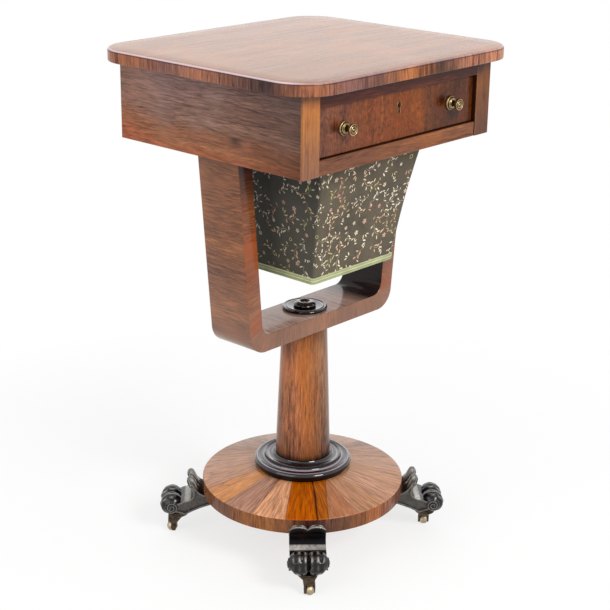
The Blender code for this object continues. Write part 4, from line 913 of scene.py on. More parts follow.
# The side's tones are greyed and lilac, most towards the top, a painted sheen over the wood; the orange low
# down is the wood's own.
side_tones_with_sheen = ((80, 52, 42), (126, 92, 78), (148, 110, 90))
up_the_side = [(0.0, (162, 78, 30)), (0.22, (146, 84, 46)), (0.48, (128, 92, 78)), (1.0, (130, 102, 99))]
along_the_side = [(0.0, (78, 46, 34)), (0.22, (100, 68, 54)), (0.5, (126, 95, 82))]
along_the_side += [(0.8, (132, 102, 92)), (1.0, (150, 102, 74))]
front_darker = (BACKWARDS, -0.150, 0.168, 0.5, along_the_side)
low_orange = (UPWARDS, CASE_BOTTOM, CASE_TOP, 0.7, up_the_side)
# The second shade is painted shadow under the top's overhang.
side_wood = rosewood(
    "side_rosewood", side_tones_with_sheen, "Y", 7.0, 0.45, drifts=[front_darker, low_orange],
    shades=[(BACKWARDS, -0.160, -0.060, 0.66, 1.0), (UPWARDS, CASE_TOP - 0.009, CASE_TOP, 1.0, 0.70)],
    dark_spots=[((-0.193, -0.052, 0.643), 0.009)],
)
# The topmost stops of the stile are painted shadow under the top.
up_the_stile = [(0.0, (132, 94, 78)), (0.22, (146, 100, 74)), (0.45, (168, 112, 68)), (0.72, (186, 120, 60))]
up_the_stile += [(0.84, (170, 108, 62)), (0.90, (112, 80, 66)), (1.0, (84, 62, 58))]
foot_darker = (UPWARDS, CASE_BOTTOM, CASE_TOP, 0.75, up_the_stile)
right_darker = (ACROSS, -0.17, 0.17, 0.70, [(0.0, (150, 94, 56)), (1.0, (58, 18, 0))])
stile_wood = rosewood(
    "stile_rosewood", ((116, 70, 46), (154, 102, 68), (180, 124, 80)), "Z", 9.0, 0.08, 0.15, hair=0.06,
    drifts=[foot_darker, right_darker], burr=0.10, shadow_behind=BEHIND_FACE,
)
rail_tones = ((32, 9, 5), (66, 24, 13), (94, 40, 22))
rail_wood = rosewood("top_rail_rosewood", rail_tones, "X", 11.0, 0.4, hair=0.22, shadow_behind=BEHIND_FACE)
bearer_wood = plain_wood("bearer_wood", (176, 132, 88), (104, 68, 42), "Y", 13.0)
for side in ("left", "right"):
    eased_board(f"side_panel_{side}", side_wood, CASE_ARRIS, "table", "rosewood")
    eased_board(f"front_stile_{side}", stile_wood, CASE_ARRIS, "table", "rosewood_light")
    refinish(bearer_wood, f"bearer_{side}", f"kicker_{side}")
back_wood = rosewood("back_rosewood", side_tones_with_sheen, "X", 15.0, 0.45)
eased_board("back_panel", back_wood, CASE_ARRIS, "table", "rosewood")
eased_board("top_rail", rail_wood, CASE_ARRIS, "table", "rosewood")

# Bag frame. A sliding frame of plain wood with tongues that run in the bearers; its front is a
# rosewood show rail under the drawer, by which the bag is drawn out.
show_tones = ((100, 54, 34), (168, 102, 66), (210, 130, 70))
along_the_rail = [(0.0, (136, 90, 66)), (0.4, (156, 98, 68)), (0.75, (192, 110, 50)), (1.0, (160, 102, 66))]
show_wood = rosewood(
    "show_rail_rosewood", show_tones, "X", 17.0, 0.25, hair=0.22,
    drifts=[(ACROSS, -0.16, 0.16, 0.45, along_the_rail)], shadow_behind=BEHIND_FACE,
)
eased_board("bag_frame_front", show_wood, CASE_ARRIS, "work_bag", "rosewood")
frame_tones = ((182, 138, 92), (112, 74, 46))
frame_side_wood = plain_wood("bag_frame_side_wood", *frame_tones, "Y", 19.0)
refinish(frame_side_wood, "bag_frame_side_left", "bag_frame_side_right")
refinish(plain_wood("bag_frame_back_wood", *frame_tones, "X", 21.0), "bag_frame_back")

# Work bag. A tapered bag of pasteboard, lined with paper, that hangs in the frame. Its walls
# draw in a little between top and bottom, and its base sags under the wool.
BAG_TOP, BAG_HANG, BAG_BOTTOM, BAG_DROP = 0.6289, 0.6139, 0.4329, 0.181
BAG_TOP_HALF, BAG_BOTTOM_HALF = (0.1068, 0.1244), (0.0839, 0.0898)
BAG_HOLLOW, BAG_WALL, BAG_CORNER, BAG_CLOTH = 0.0023, 0.0026, 0.0035, 0.0005
BOARD_BOTTOM, FLOOR_TOP, FLOOR_SAG = BAG_BOTTOM + 0.0012, BAG_BOTTOM + 0.0042, 0.0010
BOARD_OUT = BAG_CLOTH + 0.0002
BOARD_IN = BOARD_OUT + BAG_WALL
WALL_LEVELS, FLOOR_RINGS = 22, 6


def down_the_bag(z):
    return min(1.0, max(0.0, (BAG_HANG - z) / BAG_DROP))


def rounded_plan(half_x, half_y, radius, corner_points, side_steps, slack=0.0):
    """A rectangle with round corners, anticlockwise; its sides draw in by the slack at their middles."""
    turns = []
    for sx, sy, start in ((1, -1, -90), (1, 1, 0), (-1, 1, 90), (-1, -1, 180)):
        centre = (sx * (half_x - radius), sy * (half_y - radius))
        turns.append(circle_points(centre, radius, start, start + 90, corner_points))
    plan = []
    for turn, after in zip(turns, turns[1:] + turns[:1]):
        first, last = Vector(turn[-1]), Vector(after[0])
        inward = Vector((first.y - last.y, last.x - first.x)).normalized()
        plan += turn
        for step in range(1, side_steps):
            t = step / side_steps
            plan.append(tuple(first.lerp(last, t) + inward * slack * 4 * t * (1 - t)))
    return plan


def bag_ring(z, inset, slack=0.0):
    """One level of the bag, set in from the cloth; its taper is bowed inwards."""
    share = down_the_bag(z)
    bow = BAG_HOLLOW * 4 * share * (1 - share)
    halves = zip(BAG_TOP_HALF, BAG_BOTTOM_HALF)
    half_x, half_y = [top + (bottom - top) * share - bow - inset for top, bottom in halves]
    plan = rounded_plan(half_x, half_y, max(0.0006, BAG_CORNER - inset), 6, 14, slack)
    return [(x, y, z) for x, y in plan]


def bag_wall(z, inset):
    """One level of the walls, which also draw in towards their middles, most at half height."""
    share = down_the_bag(z)
    slack = 0.0016 * math.sin(math.pi * share) + 0.0004 * math.sin(5 * math.pi * share)
    return bag_ring(z, inset, slack)


def loft(rings, closed=False):
    """A skin over rings of points, as a bmesh; a closed one ends in a hub in each end's middle."""
    bm = bmesh.new()
    rows = [[bm.verts.new(point) for point in ring] for ring in rings]
    skin(bm, rows)
    for row in (rows[0], rows[-1]) if closed else ():
        middle = bm.verts.new(sum((vert.co for vert in row), Vector()) / len(row))
        for a in range(len(row)):
            bm.faces.new((row[a - 1], row[a], middle))
    return bm


def sagging_floor(z, inset):
    """Rings from the bag's floor edge to its middle, which hangs lower."""
    shares = [1 - step / FLOOR_RINGS for step in range(1, FLOOR_RINGS)]
    edge = bag_ring(z, inset)
    return [[(x * share, y * share, z - FLOOR_SAG * (1 - share**2)) for x, y, _ in edge] for share in shares]


def paper_lining():
    made, shader, place = new_finish("bag_paper")
    blotch = noise_of(place, 26.0, 5.0, 0.6, 0.3)
    colour = ramp_of(blotch, [(0.3, (150, 128, 96)), (0.6, (196, 176, 140)), (0.8, (206, 188, 154))])
    fibres = noise_of(place, 700.0, 3.0, 0.6)
    dress(shader, colour, ranged(blotch, 0.3, 0.7, 0.78, 0.92), fibres, 0.15, 0.0003, {})
    return made


levels = [BOARD_BOTTOM + (BAG_TOP - BOARD_BOTTOM) * step / WALL_LEVELS for step in range(WALL_LEVELS + 1)]
shell = sagging_floor(BOARD_BOTTOM, BOARD_OUT)[::-1] + [bag_wall(z, BOARD_OUT) for z in levels]
shell += [bag_wall(z, BOARD_IN) for z in reversed(levels) if z > FLOOR_TOP - 0.0002]
shell += [bag_ring(FLOOR_TOP, BOARD_IN)] + sagging_floor(FLOOR_TOP, BOARD_IN)
bag_board = add_piece("bag_board_shell", loft(shell, closed=True), [paper_lining()])
seat(bag_board, "work_bag", "bag_board", "bag_base")

# Bag cloth. A brown-olive cotton pasted over the board outside, turned over the top edge and
# printed with a small scatter of leafy sprigs and blossoms.
SPRIGS = {"Spacing": 0.0168, "Sprig Length": 0.0190, "Leaf Length": 0.0057, "Blossom Size": 0.0031}
SPRIGS |= {"Lift": 0.00008, "Seed": 11}
CLOTH_LEVELS, TURNED_IN, TURNED_UNDER, OVER_EDGE = 30, 0.012, 0.012, 0.003
FULL_TURN = 2 * math.pi


def front_share(place):
    """1 on the bag's front wall and 0 on the others, which are painted darker as shade."""
    x, y, z = split(place)
    slopes = [half_y / half_x for half_x, half_y in (BAG_BOTTOM_HALF, BAG_TOP_HALF)]
    slant = ranged(z, BAG_BOTTOM, BAG_HANG, *slopes)
    return ranged(y + abs(x) * slant, -0.005, 0.004, 1.0, 0.0)


def waves(place, scale, distortion, detail, direction):
    values = {"Vector": place, "Scale": scale, "Distortion": distortion, "Detail": detail}
    return read("ShaderNodeTexWave", values, 1, bands_direction=direction)


def woven_cloth():
    """Plain-weave cotton, paler on the front wall, the others in painted shade; a little soiled, with
    thread-scale bump.
    """
    made, shader, place = new_finish("bag_cotton")
    fade = noise_of(place, 16.0, 5.0, 0.6, 0.4)
    warp = waves(stretched(place, (1, 1, 1), math.radians(45)), 640.0, 1.5, 1.0, "X")
    threads = waves(place, 480.0, 1.5, 1.0, "Z") * warp
    front_tone = ramp_of(fade, [(0.30, (63, 55, 41)), (0.50, (88, 78, 60)), (0.72, (107, 96, 76))])
    height = ranged(split(place)[2] + (fade - 0.5) * 0.12, BAG_BOTTOM, BAG_TOP, 0.0, 1.0)
    # Painted shade on the walls other than the front, going to painted shadow near the top.
    shaded_walls = ramp_of(height, [(0.0, (76, 73, 60)), (0.55, (66, 64, 56)), (0.9, (28, 27, 27))])
    slubs = noise_of(stretched(place, (900, 900, 900)), 1.0, 2.0, 0.6)
    colour = scaled(mixed(front_share(place), shaded_walls, front_tone), ranged(slubs, 0.35, 0.65, 0.72, 1.22))
    colour = mixed(ranged(threads, 0.0, 0.5, 0.30, 0.0), colour, (40, 36, 27))
    roughness = ranged(fade, 0.3, 0.7, 0.80, 0.92)
    dress(shader, colour, roughness, threads, 0.25, 0.0003, {"Sheen Weight": 0.1})
    return made


def printed_motif():
    """The print's colours: leaves in cream, sage and rose, blossoms in rose and cream, ochre eyes."""
    made, shader, place = new_finish("bag_print")
    pick, part = attribute(place, "pick"), attribute(place, "part")
    leaf = [(0.0, (246, 236, 216)), (0.50, (238, 220, 186)), (0.66, (232, 190, 160))]
    leaf += [(0.80, (196, 190, 128)), (1.0, (206, 142, 132))]
    petal = [(0.0, (216, 150, 138)), (0.4, (242, 226, 202)), (0.75, (236, 214, 186)), (1.0, (196, 124, 114))]
    colour = mixed(ranged(part, 0.4, 0.6, 0.0, 1.0), ramp_of(pick, leaf), ramp_of(pick, petal))
    colour = mixed(ranged(part, 1.4, 1.6, 0.0, 1.0), colour, (198, 190, 126))
    # Painted shade: the print is dimmed on the walls other than the front.
    colour = mixed(ranged(front_share(place), 0.0, 1.0, 0.34, 0.0), colour, (84, 80, 70))
    rub = noise_of(place, 420.0, 4.0, 0.6)
    colour = mixed(ranged(rub, 0.45, 0.75, 0.0, 0.45), colour, (112, 100, 76))
    dress(shader, colour, ranged(rub, 0.3, 0.7, 0.80, 0.92), rub, 0.2, 0.0002, {})
    return made


def tree_with(name, sockets):
    """A Geometry Nodes tree with named inputs after its base mesh; gives the tree and its inputs."""
    tree = bpy.data.node_groups.new(name, "GeometryNodeTree")
    sockets = {"Geometry": "Geometry"} | sockets
    for label, kind in sockets.items():
        tree.interface.new_socket(name=label, in_out="INPUT", socket_type="NodeSocket" + kind)
    tree.interface.new_socket(name="Geometry", in_out="OUTPUT", socket_type="NodeSocketGeometry")
    given = tree.nodes.new("NodeGroupInput").outputs
    return tree, {label: Reading(given[label]) for label in sockets}


def end_tree(geometry, finish):
    """The last step of a tree: its geometry takes the finish and goes out."""
    done = read("GeometryNodeSetMaterial", {"Geometry": geometry, "Material": finish})
    done.tree.links.new(done.socket, done.tree.nodes.new("NodeGroupOutput").inputs[0])
    return done.tree


def grown(name, tree, base, values):
    """Runs a tree on a base mesh with its inputs set, and keeps the result as a plain mesh piece."""
    carrier = bpy.data.objects.new(name + "_base", base)
    bpy.context.scene.collection.objects.link(carrier)
    change = carrier.modifiers.new(name, "NODES")
    change.node_group = tree
    for socket in tree.interface.items_tree:
        if socket.item_type == "SOCKET" and socket.in_out == "INPUT" and socket.name in values:
            change[socket.identifier] = values[socket.name]
    evaluated = carrier.evaluated_get(bpy.context.evaluated_depsgraph_get())
    mesh = bpy.data.meshes.new_from_object(evaluated)
    carrier.modifiers.remove(change)
    for spot in reversed(range(len(mesh.materials))):
        if mesh.materials[spot] is None:
            mesh.materials.pop(index=spot)
    bpy.data.objects.remove(carrier)
    mesh.name = name
    made = bpy.data.objects.new(name, mesh)
    bpy.context.scene.collection.objects.link(made)
    return made


def gathered(*bits):
    whole = bits[0].tree.nodes.new("GeometryNodeJoinGeometry")
    for bit in bits:
        bit.tree.links.new(bit.socket, whole.inputs[0])
    return Reading(whole.outputs[0])


def realized(geometry):
    return read("GeometryNodeRealizeInstances", {0: geometry})


def moved(geometry, values, kind="SetPosition"):
    return read("GeometryNode" + kind, {"Geometry": geometry} | values)


def marked(geometry, name, value, domain):
    values = {"Geometry": geometry, "Name": name, 3: value}
    return read("GeometryNodeStoreNamedAttribute", values, data_type="FLOAT", domain=domain)


def sprig_tree():
    """Leafy fronds, fans of leaves, blossoms and ring flowers strewn on a surface and laid onto it."""
    sockets = {label: "Int" if label == "Seed" else "Float" for label in SPRIGS}
    tree, given = tree_with("bag_sprigs", sockets | {"Print": "Material"})
    reach, length, bloom = given["Sprig Length"], given["Leaf Length"], given["Blossom Size"]
    cloth = given["Geometry"]
    made = partial(read, tree=tree)
    index, place = made("GeometryNodeInputIndex"), made("GeometryNodeInputPosition")

    def between(low, high, seed):
        return made("FunctionNodeRandomValue", {2: low, 3: high, 8: seed}, 1, data_type="FLOAT")

    def spread(x, y=0.0, z=0.0):
        return made("ShaderNodeCombineXYZ", {0: x, 1: y, 2: z})

    def ring_of(count, radius, fill="NONE"):
        return made("GeometryNodeMeshCircle", {"Vertices": count, "Radius": radius}, fill_type=fill)

    def line_of(count, step):
        return made("GeometryNodeMeshLine", {"Count": count, "Offset": step}, mode="OFFSET")

    def set_on(points, motif, turn, size):
        values = {"Points": points, "Instance": motif, "Rotation": spread(0.0, 0.0, turn), "Scale": size}
        return made("GeometryNodeInstanceOnPoints", values)

    def bound(part, *bits):
        return marked(realized(gathered(*bits)), "part", part, "POINT")

    def on_cloth(value):
        values = {"Mesh": cloth, "Value": value, "Sample Position": place}
        return made("GeometryNodeSampleNearestSurface", values, data_type="FLOAT_VECTOR")

    def named(name):
        return made("GeometryNodeInputNamedAttribute", {"Name": name}, data_type="FLOAT")

    octagon = ring_of(8, 0.5, "NGON")
    leaf_size = {"Translation": spread(length * 0.92), "Scale": spread(length, length * 0.34, 1.0)}
    leaf = moved(octagon, leaf_size, "Transform")

    joints = moved(line_of(6, spread(reach / 5.0)), {"Translation": spread(reach * -0.5)}, "Transform")
    stem = {"Size X": reach, "Size Y": length * 0.05, "Vertices X": 9, "Vertices Y": 2}
    share = split(place)[0] / reach
    curl = {"Offset": spread(0.0, share * share * (reach * 0.8))}
    lean = (index % 2.0 * 2.0 - 1.0) * 0.85 + share * 1.5
    leaves = set_on(moved(joints, curl), leaf, lean, between(0.75, 1.15, 5))
    frond = bound(0.0, moved(made("GeometryNodeMeshGrid", stem), curl), leaves)

    tuft = line_of(3, (0.0016, 0.0006, 0))
    fan = bound(0.0, set_on(tuft, leaf, (index - 1.0) * 0.70, between(0.80, 1.30, 6)))

    petal = spread(bloom * 0.96, bloom * 0.66, 1.0)
    petals = bound(1.0, set_on(ring_of(5, bloom * 0.70), octagon, index * (FULL_TURN / 5), petal))
    eye = moved(octagon, {"Scale": spread(bloom * 0.42, bloom * 0.42, 1.0)}, "Transform")
    blossom = gathered(petals, bound(2.0, eye))
    daisy = bound(2.0, set_on(ring_of(8, bloom * 0.80), octagon, 0.0, bloom * 0.52))

    values = {"Mesh": cloth, "Distance Min": given["Spacing"], "Density Max": 60000.0, "Seed": given["Seed"]}
    strewn = add_node(tree, "GeometryNodeDistributePointsOnFaces", values, distribute_method="POISSON")
    points, facing = [Reading(strewn.outputs[key]) for key in ("Points", "Rotation")]
    spin = {"Axis": (0, 0, 1), "Angle": between(0.0, FULL_TURN, 1)}
    turn = {"Rotation": facing, "Rotate By": made("FunctionNodeAxisAngleToRotation", spin)}
    facing = made("FunctionNodeRotateRotation", turn, rotation_space="LOCAL")
    chance = between(0.0, 1.0, 2)
    laid = []
    shares = ((frond, 0.00, 0.48, 7), (fan, 0.48, 0.70, 8), (blossom, 0.70, 0.88, 9), (daisy, 0.89, 0.94, 10))
    for motif, low, high, seed in shares:
        values = {"Points": points, "Selection": (chance > low) * (chance < high), "Instance": motif}
        values |= {"Rotation": facing, "Scale": between(0.75, 1.20, 3)}
        strewn_motif = made("GeometryNodeInstanceOnPoints", values)
        laid.append(marked(strewn_motif, "pick", between(0.0, 1.0, seed), "INSTANCE"))
    height = given["Lift"] * (1.0 + named("part") + named("pick"))
    raised = scaled(on_cloth(made("GeometryNodeInputNormal")), height)
    raised = made("ShaderNodeVectorMath", {0: on_cloth(place), 1: raised}, operation="ADD")
    return end_tree(moved(realized(gathered(*laid)), {"Position": raised}), given["Print"])


cloth_levels = [BAG_BOTTOM + (BAG_TOP - BAG_BOTTOM) * step / CLOTH_LEVELS for step in range(CLOTH_LEVELS + 1)]
cloth_rings = [bag_wall(z, 0.0) for z in cloth_levels]
under = [bag_ring(BAG_BOTTOM, TURNED_UNDER), bag_ring(BAG_BOTTOM, 0.002)]
turned_in = [bag_wall(z, BOARD_IN + BAG_CLOTH) for z in (BAG_TOP, BAG_TOP - TURNED_IN)]
cover = loft(under + cloth_rings + turned_in)
bag_cloth = add_piece("bag_cloth_cover", cover, [woven_cloth()], 60.0, outward=False)
thickness = bag_cloth.modifiers.new("cloth_thickness", "SOLIDIFY")
thickness.thickness, thickness.offset = BAG_CLOTH, -1.0
seat(bag_cloth, "work_bag", "bag_cloth", *[f"bag_wall_{side}" for side in ("front", "back", "left", "right")])

bm = loft([bag_wall(z, 0.0) for z in cloth_levels if BAG_BOTTOM + 0.006 < z < BAG_TOP - 0.014])
outside = bpy.data.meshes.new("bag_outside")
bm.to_mesh(outside)
bm.free()
outside.shade_smooth()
sprigs = grown("bag_sprigs", sprig_tree(), outside, SPRIGS | {"Print": printed_motif()})
seat(sprigs, "work_bag", "bag_cloth")
cloth_foot, cloth_top = [distances_round(ring)[-1] for ring in (cloth_rings[0], cloth_rings[-1])]

# Braid. A pale green woven galloon sewn round the bottom edge of the bag to cover the turned-in
# cloth: five beaded cords side by side, the uppermost a picot that stands apart.
BRAID_ROWS, BRAID_STEP, BRAID_CORD, BRAID_BEAD = 5, 0.0019, 0.00100, 0.0023


def braid_thread():
    made, shader, place = new_finish("green_braid")
    fade = noise_of(place, 45.0, 5.0, 0.6, 0.3)
    thread = waves(place, 560.0, 3.0, 2.0, "DIAGONAL")
    tones = [(0.0, (186, 190, 142)), (0.25, (164, 172, 122)), (0.5, (220, 220, 180))]
    tones += [(0.75, (176, 182, 132)), (1.0, (202, 206, 160))]
    colour = ramp_of(attribute(place, "row") / (BRAID_ROWS - 1.0), tones)
    colour = scaled(colour, ranged(fade, 0.30, 0.70, 0.82, 1.14))
    colour = mixed(ranged(thread, 0.0, 0.5, 0.35, 0.0), colour, (108, 116, 74))
    dress(shader, colour, ranged(fade, 0.3, 0.7, 0.70, 0.85), thread, 0.3, 0.0003, {"Sheen Weight": 0.2})
    return made


def galloon_tree():
    """Beaded cords along closed paths; each path's row number sets which way its beads are stepped."""
    sockets = {"Bead": "Float", "Cord": "Float", "Picot Row": "Float", "Thread": "Material"}
    tree, given = tree_with("bag_galloon", sockets)
    path = read("GeometryNodeMeshToCurve", {0: given["Geometry"]})
    path = read("GeometryNodeResampleCurve", {"Curve": path, "Length": given["Bead"] / 5.0}, mode="LENGTH")
    reach = read("GeometryNodeSplineParameter", output="Length", tree=tree)
    row = read("GeometryNodeInputNamedAttribute", {"Name": "row"}, tree=tree, data_type="FLOAT")
    turn = summed("SINE", reach / given["Bead"] * FULL_TURN + row * math.pi)
    picot = row > given["Picot Row"] - 0.5
    thick = given["Cord"] * (0.90 + turn * (0.16 + picot * 0.20))
    ring = read("GeometryNodeCurvePrimitiveCircle", {"Resolution": 6, "Radius": 1.0}, tree=tree)
    whole = read("GeometryNodeCurveToMesh", {"Curve": path, "Profile Curve": ring, "Scale": thick})
    whole = read("GeometryNodeSetShadeSmooth", {0: realized(whole)})
    return end_tree(whole, given["Thread"])


points, edges, row_of = [], [], []
for row in range(BRAID_ROWS):
    ring = bag_wall(BAG_BOTTOM + BRAID_CORD + row * BRAID_STEP, -0.0005)
    first = len(points)
    edges += [(first + a, first + (a + 1) % len(ring)) for a in range(len(ring))]
    points += ring
    row_of += [float(row)] * len(ring)
braid_paths = bpy.data.meshes.new("braid_paths")
braid_paths.from_pydata(points, edges, [])
braid_paths.attributes.new("row", "FLOAT", "POINT").data.foreach_set("value", row_of)
values = {"Bead": BRAID_BEAD, "Cord": BRAID_CORD, "Picot Row": BRAID_ROWS - 1.0, "Thread": braid_thread()}
braid = grown("bag_galloon_braid", galloon_tree(), braid_paths, values)
seat(braid, "work_bag", "braid", "bag_braid")

# Drawer. A thick front veneered with figured rosewood, thin sides, back and bottom of plain
# wood, the bottom slid in grooves. It runs on the bearers.
DRAWER_ARRIS, DRAWER_FACE = 0.0006, -0.161
ends_darker = [(0.0, (112, 72, 56)), (0.25, (118, 62, 32)), (0.5, (122, 56, 8))]
ends_darker += [(0.72, (106, 46, 8)), (0.84, (28, 10, 5)), (1.0, (58, 25, 13))]
by_knobs = [((0.093, DRAWER_FACE, 0.674), 0.010), ((0.121, DRAWER_FACE, 0.647), 0.012)]
by_knobs += [((-0.126, DRAWER_FACE, 0.667), 0.010)]
front_tones = ((78, 33, 8), (110, 51, 11), (144, 77, 22))
drawer_wood = rosewood(
    "drawer_rosewood", front_tones, "Z", 23.0, 0.18, 0.2, patch=0.4, hair=0.12, dark_spots=by_knobs,
    drifts=[(ACROSS, -0.162, 0.162, 0.6, ends_darker)], burr=0.54, shadow_behind=DRAWER_FACE + 0.0005,
)
eased_board("drawer_front", drawer_wood, DRAWER_ARRIS, "drawer", "rosewood")
drawer_tones = ((188, 146, 100), (120, 82, 52))
drawer_side_wood = plain_wood("drawer_side_wood", *drawer_tones, "Y", 25.0)
drawer_cross_wood = plain_wood("drawer_cross_wood", *drawer_tones, "X", 27.0)
drawer_boards = {"side_left": drawer_side_wood, "side_right": drawer_side_wood}
drawer_boards |= {"back": drawer_cross_wood, "bottom": drawer_cross_wood}
for board, finish in drawer_boards.items():
    eased_board(f"drawer_{board}", finish, DRAWER_ARRIS, "drawer", "carcass_wood")

# Knobs, keyhole and lock. Turned brass knobs with roses, screwed into the front; a brass
# escutcheon let in round the keyhole; a brass lock behind with an iron bolt.
KNOB_X, KNOB_Z = 0.1105, 0.6654
KNOB_HOLLOWS = ((0.0017, 0.0032, 0.0160, 0.0020), (0.0050, 0.0064, 0.0168, 0.0020))
KNOB_HOLLOWS += ((0.0, 0.0052, 0.0055, 0.0070), (0.0074, 0.0088, 0.0030, 0.0020))
ESCUTCHEON_RADIUS, ESCUTCHEON_FOOT, ESCUTCHEON_RIM, ESCUTCHEON_EASING = 0.0045, 0.0030, 0.0009, 0.0002
ESCUTCHEON_PROUD = 0.0003
knob_brass = aged_metal("knob_brass", (198, 172, 128), (100, 76, 48), 0.92, 0.26)
old_brass = aged_metal("knob_hollows", (84, 66, 40), (30, 23, 15), 1.0, 0.42)
profile = [(0, 0.0180), (0.0013, 0.0180), (0.0019, 0.0170), (0.0030, 0.0170), (0.0036, 0.0180)]
profile += [(0.0046, 0.0181), (0.0053, 0.0172), (0.0062, 0.0173), (0.0070, 0.0179), (0.0079, 0.0172)]
profile += [(0.0081, 0.0156), (0.0074, 0.0134), (0.0054, 0.0120), (0.0042, 0.0106), (0.0039, 0.0080)]
profile += [(0.0043, 0.0060), (0.0056, 0.0050), (0.0066, 0.0054), (0.0074, 0.0046), (0.0080, 0.0034)]
profile += [(0.0090, 0.0036), (0.0100, 0.0026), (0.0101, 0.0012), (0.0100, 0.0003), (0, 0.0003)]
for side, sign in (("left", -1), ("right", 1)):
    bm = bmesh.new()
    turn_on_lathe(bm, eased(profile, 0.0006, 3), 56)
    for face in bm.faces:
        x, y, z = face.calc_center_median()
        reach = math.hypot(x, y)
        sunk = [low < reach < high and back < z < back + deep for low, high, back, deep in KNOB_HOLLOWS]
        face.material_index = 1 if any(sunk) else 0
    screwed_in = Matrix.Translation((sign * KNOB_X, DRAWER_FACE, KNOB_Z))
    bm.transform(screwed_in @ Matrix.Rotation(math.radians(90), 4, "X"))
    knob = add_piece(f"knob_turned_{side}", bm, [knob_brass, old_brass], 60.0)
    seat(knob, "drawer", "brass", f"knob_{side}")

low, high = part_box("keyhole_escutcheon")
key_x, key_z = (low.x + high.x) / 2, high.z - ESCUTCHEON_RADIUS
shoulder = math.degrees(math.acos(ESCUTCHEON_FOOT * 0.85 / ESCUTCHEON_RADIUS))
outline = circle_points((key_x, key_z), ESCUTCHEON_RADIUS, -shoulder, 180 + shoulder, 28)
outline += [(key_x - ESCUTCHEON_FOOT, low.z), (key_x + ESCUTCHEON_FOOT, low.z)]
face_y = low.y - ESCUTCHEON_PROUD
rim_section = [(0.0, high.y), (0.0, low.y - 0.0001), (ESCUTCHEON_EASING, face_y)]
rim_section += [(ESCUTCHEON_RIM - ESCUTCHEON_EASING, face_y)]
rim_section += [(ESCUTCHEON_RIM, low.y), (ESCUTCHEON_RIM, high.y)]
bm = bmesh.new()
rows = [[bm.verts.new((x, y, z)) for x, z in drawn_in(outline, inset)] for inset, y in rim_section]
skin(bm, rows + rows[:1])
seat(add_piece("escutcheon_rim", bm, [knob_brass]), "drawer", "brass", "keyhole_escutcheon")
refinish(aged_metal("lock_brass", (176, 146, 92), (96, 72, 44), 0.9, 0.34), "lock_case")
refinish(pin_iron, "lock_bolt")

# Top. A board with round corners, veneered along its length, cross-banded round the edge, and
# rounded over on its upper arris, which carries a painted highlight.
TOP_LOW, TOP_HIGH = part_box("table_top")
TOP_CORNER, TOP_MARGIN, LOWER_ROUND, UPPER_ROUND = 0.055, 0.0300, 0.0016, 0.004
EDGES = {"pale": (194, 134, 106), "brown": (176, 117, 87), "orange": (212, 138, 80), "dim": (152, 101, 79)}
EDGES |= {"dark": (122, 83, 71), "black": (74, 54, 53), "mauve": (146, 106, 101), "umber": (98, 66, 50)}
# Round the top's left side the lengths are laid paler, as painted light on that side.
EDGE_LAY = "pale brown brown orange dim brown orange brown dark brown orange brown dim".split()
EDGE_LAY += "orange brown brown mauve pale dark black brown mauve dark orange umber pale".split()


def top_outline(inset):
    """The top's plan, with small steps round the corners and longer ones along the sides."""
    return rounded_plan(TOP_HIGH.x - inset, TOP_HIGH.y - inset, TOP_CORNER - inset, 20, 10)


top_tones = ((116, 62, 30), (150, 93, 50), (178, 110, 58))
top_wood = rosewood("top_rosewood", top_tones, "X", 29.0, 0.2, 0.2, 0.15, 0.45, 0.16, 0.18)
edge_length = 4 * (TOP_HIGH.x + TOP_HIGH.y) - (8 - 2 * math.pi) * TOP_CORNER
edge_tones = [EDGES[name] for name in EDGE_LAY]
top_band = banding("top_banding", edge_tones, 0.0, edge_length, 8.0, (222, 200, 206))
rolls = [(TOP_LOW.z, TOP_MARGIN), (TOP_LOW.z, LOWER_ROUND)]
for angle in (0.4, 0.8, 1.2, math.pi / 2):
    rolls.append((TOP_LOW.z + LOWER_ROUND * (1 - math.cos(angle)), LOWER_ROUND * (1 - math.sin(angle))))
rolls.append((TOP_LOW.z + 0.0075, 0.0))
for angle in (0.0, 0.25, 0.5, 0.75, 1.0, 1.25, math.pi / 2):
    rolls.append((TOP_HIGH.z - UPPER_ROUND * (1 - math.sin(angle)), UPPER_ROUND * (1 - math.cos(angle))))
rolls.append((TOP_HIGH.z, TOP_MARGIN))
bm = bmesh.new()
layer = bm.loops.layers.uv.new("run")
around = distances_round(top_outline(0.0))
rows = [[bm.verts.new((x, y, z)) for x, y in top_outline(inset)] for z, inset in rolls]
for k, a, face in skin(bm, rows):
    face.material_index = 1 if 1 <= k <= len(rows) - 4 else 0
    map_run(layer, face, k, a, len(rows[0]), lambda row, spot: (around[spot], rolls[row][0] - rolls[row][1]))
bm.faces.new(rows[0])
bm.faces.new(rows[-1])
top = add_piece("top_veneered", bm, [top_wood, top_band])
seat(top, "table", "rosewood", "table_top")

# Studio. A pale floor that fades into white, a soft lamp in front, a large soft fill at the left,
# a pale screen behind on the right that the polish reflects, and the camera at the photograph's place.
FLOOR_RADIUS, SHADOW_NEAR, SHADOW_FAR, SHADOW_SHARE, ROOM_LIGHT = 6.0, 0.35, 0.95, 0.30, 0.60


def shows_background(tree):
    """1 for the rays that show the background: straight from the camera, off gloss or through glass."""
    paths = add_node(tree, "ShaderNodeLightPath", {}).outputs
    rays = [Reading(paths[f"Is {kind} Ray"]) for kind in ("Camera", "Glossy", "Transmission")]
    return summed("MAXIMUM", rays[0], summed("MAXIMUM", rays[1], rays[2]))


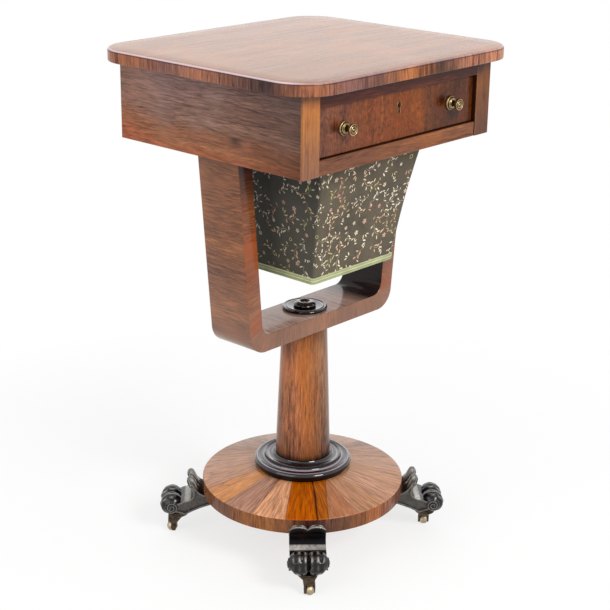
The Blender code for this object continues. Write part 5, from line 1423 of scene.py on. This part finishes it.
bm = bmesh.new()
bmesh.ops.create_circle(bm, cap_ends=True, radius=FLOOR_RADIUS, segments=96)
floor_paint, shader, place = new_finish("studio_floor")
tree = floor_paint.node_tree
tree.nodes.remove(shader)
near = ranged(length_of(place), SHADOW_NEAR, SHADOW_FAR, SHADOW_SHARE, 0.0)
greys = [{"Color": (grey, grey, grey, 1)} for grey in (0.80, 0.96)]
matt, pale = [read("ShaderNodeBsdfDiffuse", grey, tree=tree) for grey in greys]
white = read("ShaderNodeEmission", {"Color": (1, 1, 1, 1), "Strength": 1.0}, tree=tree)
shaded = read("ShaderNodeMixShader", {0: near, 1: white, 2: pale})
both = read("ShaderNodeMixShader", {0: shows_background(tree), 1: matt, 2: shaded})
tree.links.new(both.socket, tree.nodes["Material Output"].inputs["Surface"])
add_piece("studio_floor", bm, [floor_paint], 30.0, outward=False)

world = bpy.data.worlds.new("studio_light")
world.use_nodes = True
backdrop = world.node_tree.nodes["Background"]
backdrop.inputs["Color"].default_value = (1, 1, 1, 1)
strength = ranged(shows_background(world.node_tree), 0.0, 1.0, ROOM_LIGHT, 1.0)
world.node_tree.links.new(strength.socket, backdrop.inputs["Strength"])
bpy.context.scene.world = world


def soft_lamp(name, place, aim_height, width, height, power):
    lamp = bpy.data.lights.new(name, "AREA")
    lamp.shape, lamp.size, lamp.size_y, lamp.energy = "RECTANGLE", width, height, power
    made = bpy.data.objects.new(name, lamp)
    made.location = place
    made.rotation_euler = (Vector((0, 0, aim_height)) - Vector(place)).to_track_quat("-Z", "Y").to_euler()
    bpy.context.scene.collection.objects.link(made)


soft_lamp("key_softbox", (-0.3, -2.8, 2.2), 0.40, 1.1, 1.1, 64.0)
soft_lamp("fill_softbox", (-2.8, 0.0, 1.7), 0.40, 2.4, 2.2, 31.0)
soft_lamp("back_screen", (1.75, 1.6, 1.35), 0.60, 2.6, 1.5, 7.0)

camera = bpy.data.cameras.new("photo_camera")
camera.sensor_width, camera.lens = 36.0, 86.234
camera.shift_x, camera.shift_y = 0.0058, 0.0006
eye = bpy.data.objects.new("photo_camera", camera)
right, up = Vector((0.674825, -0.737874, 0.012387)), Vector((0.239479, 0.234831, 0.942075))
forward = Vector((0.698041, 0.632769, -0.335175))
turned = Matrix((right, up, -forward)).transposed().to_4x4()
eye.matrix_world = Matrix.Translation((-1.48125, -1.33634, 1.06996)) @ turned
bpy.context.scene.collection.objects.link(eye)
bpy.context.scene.camera = eye
bpy.context.scene.view_settings.view_transform = "Standard"
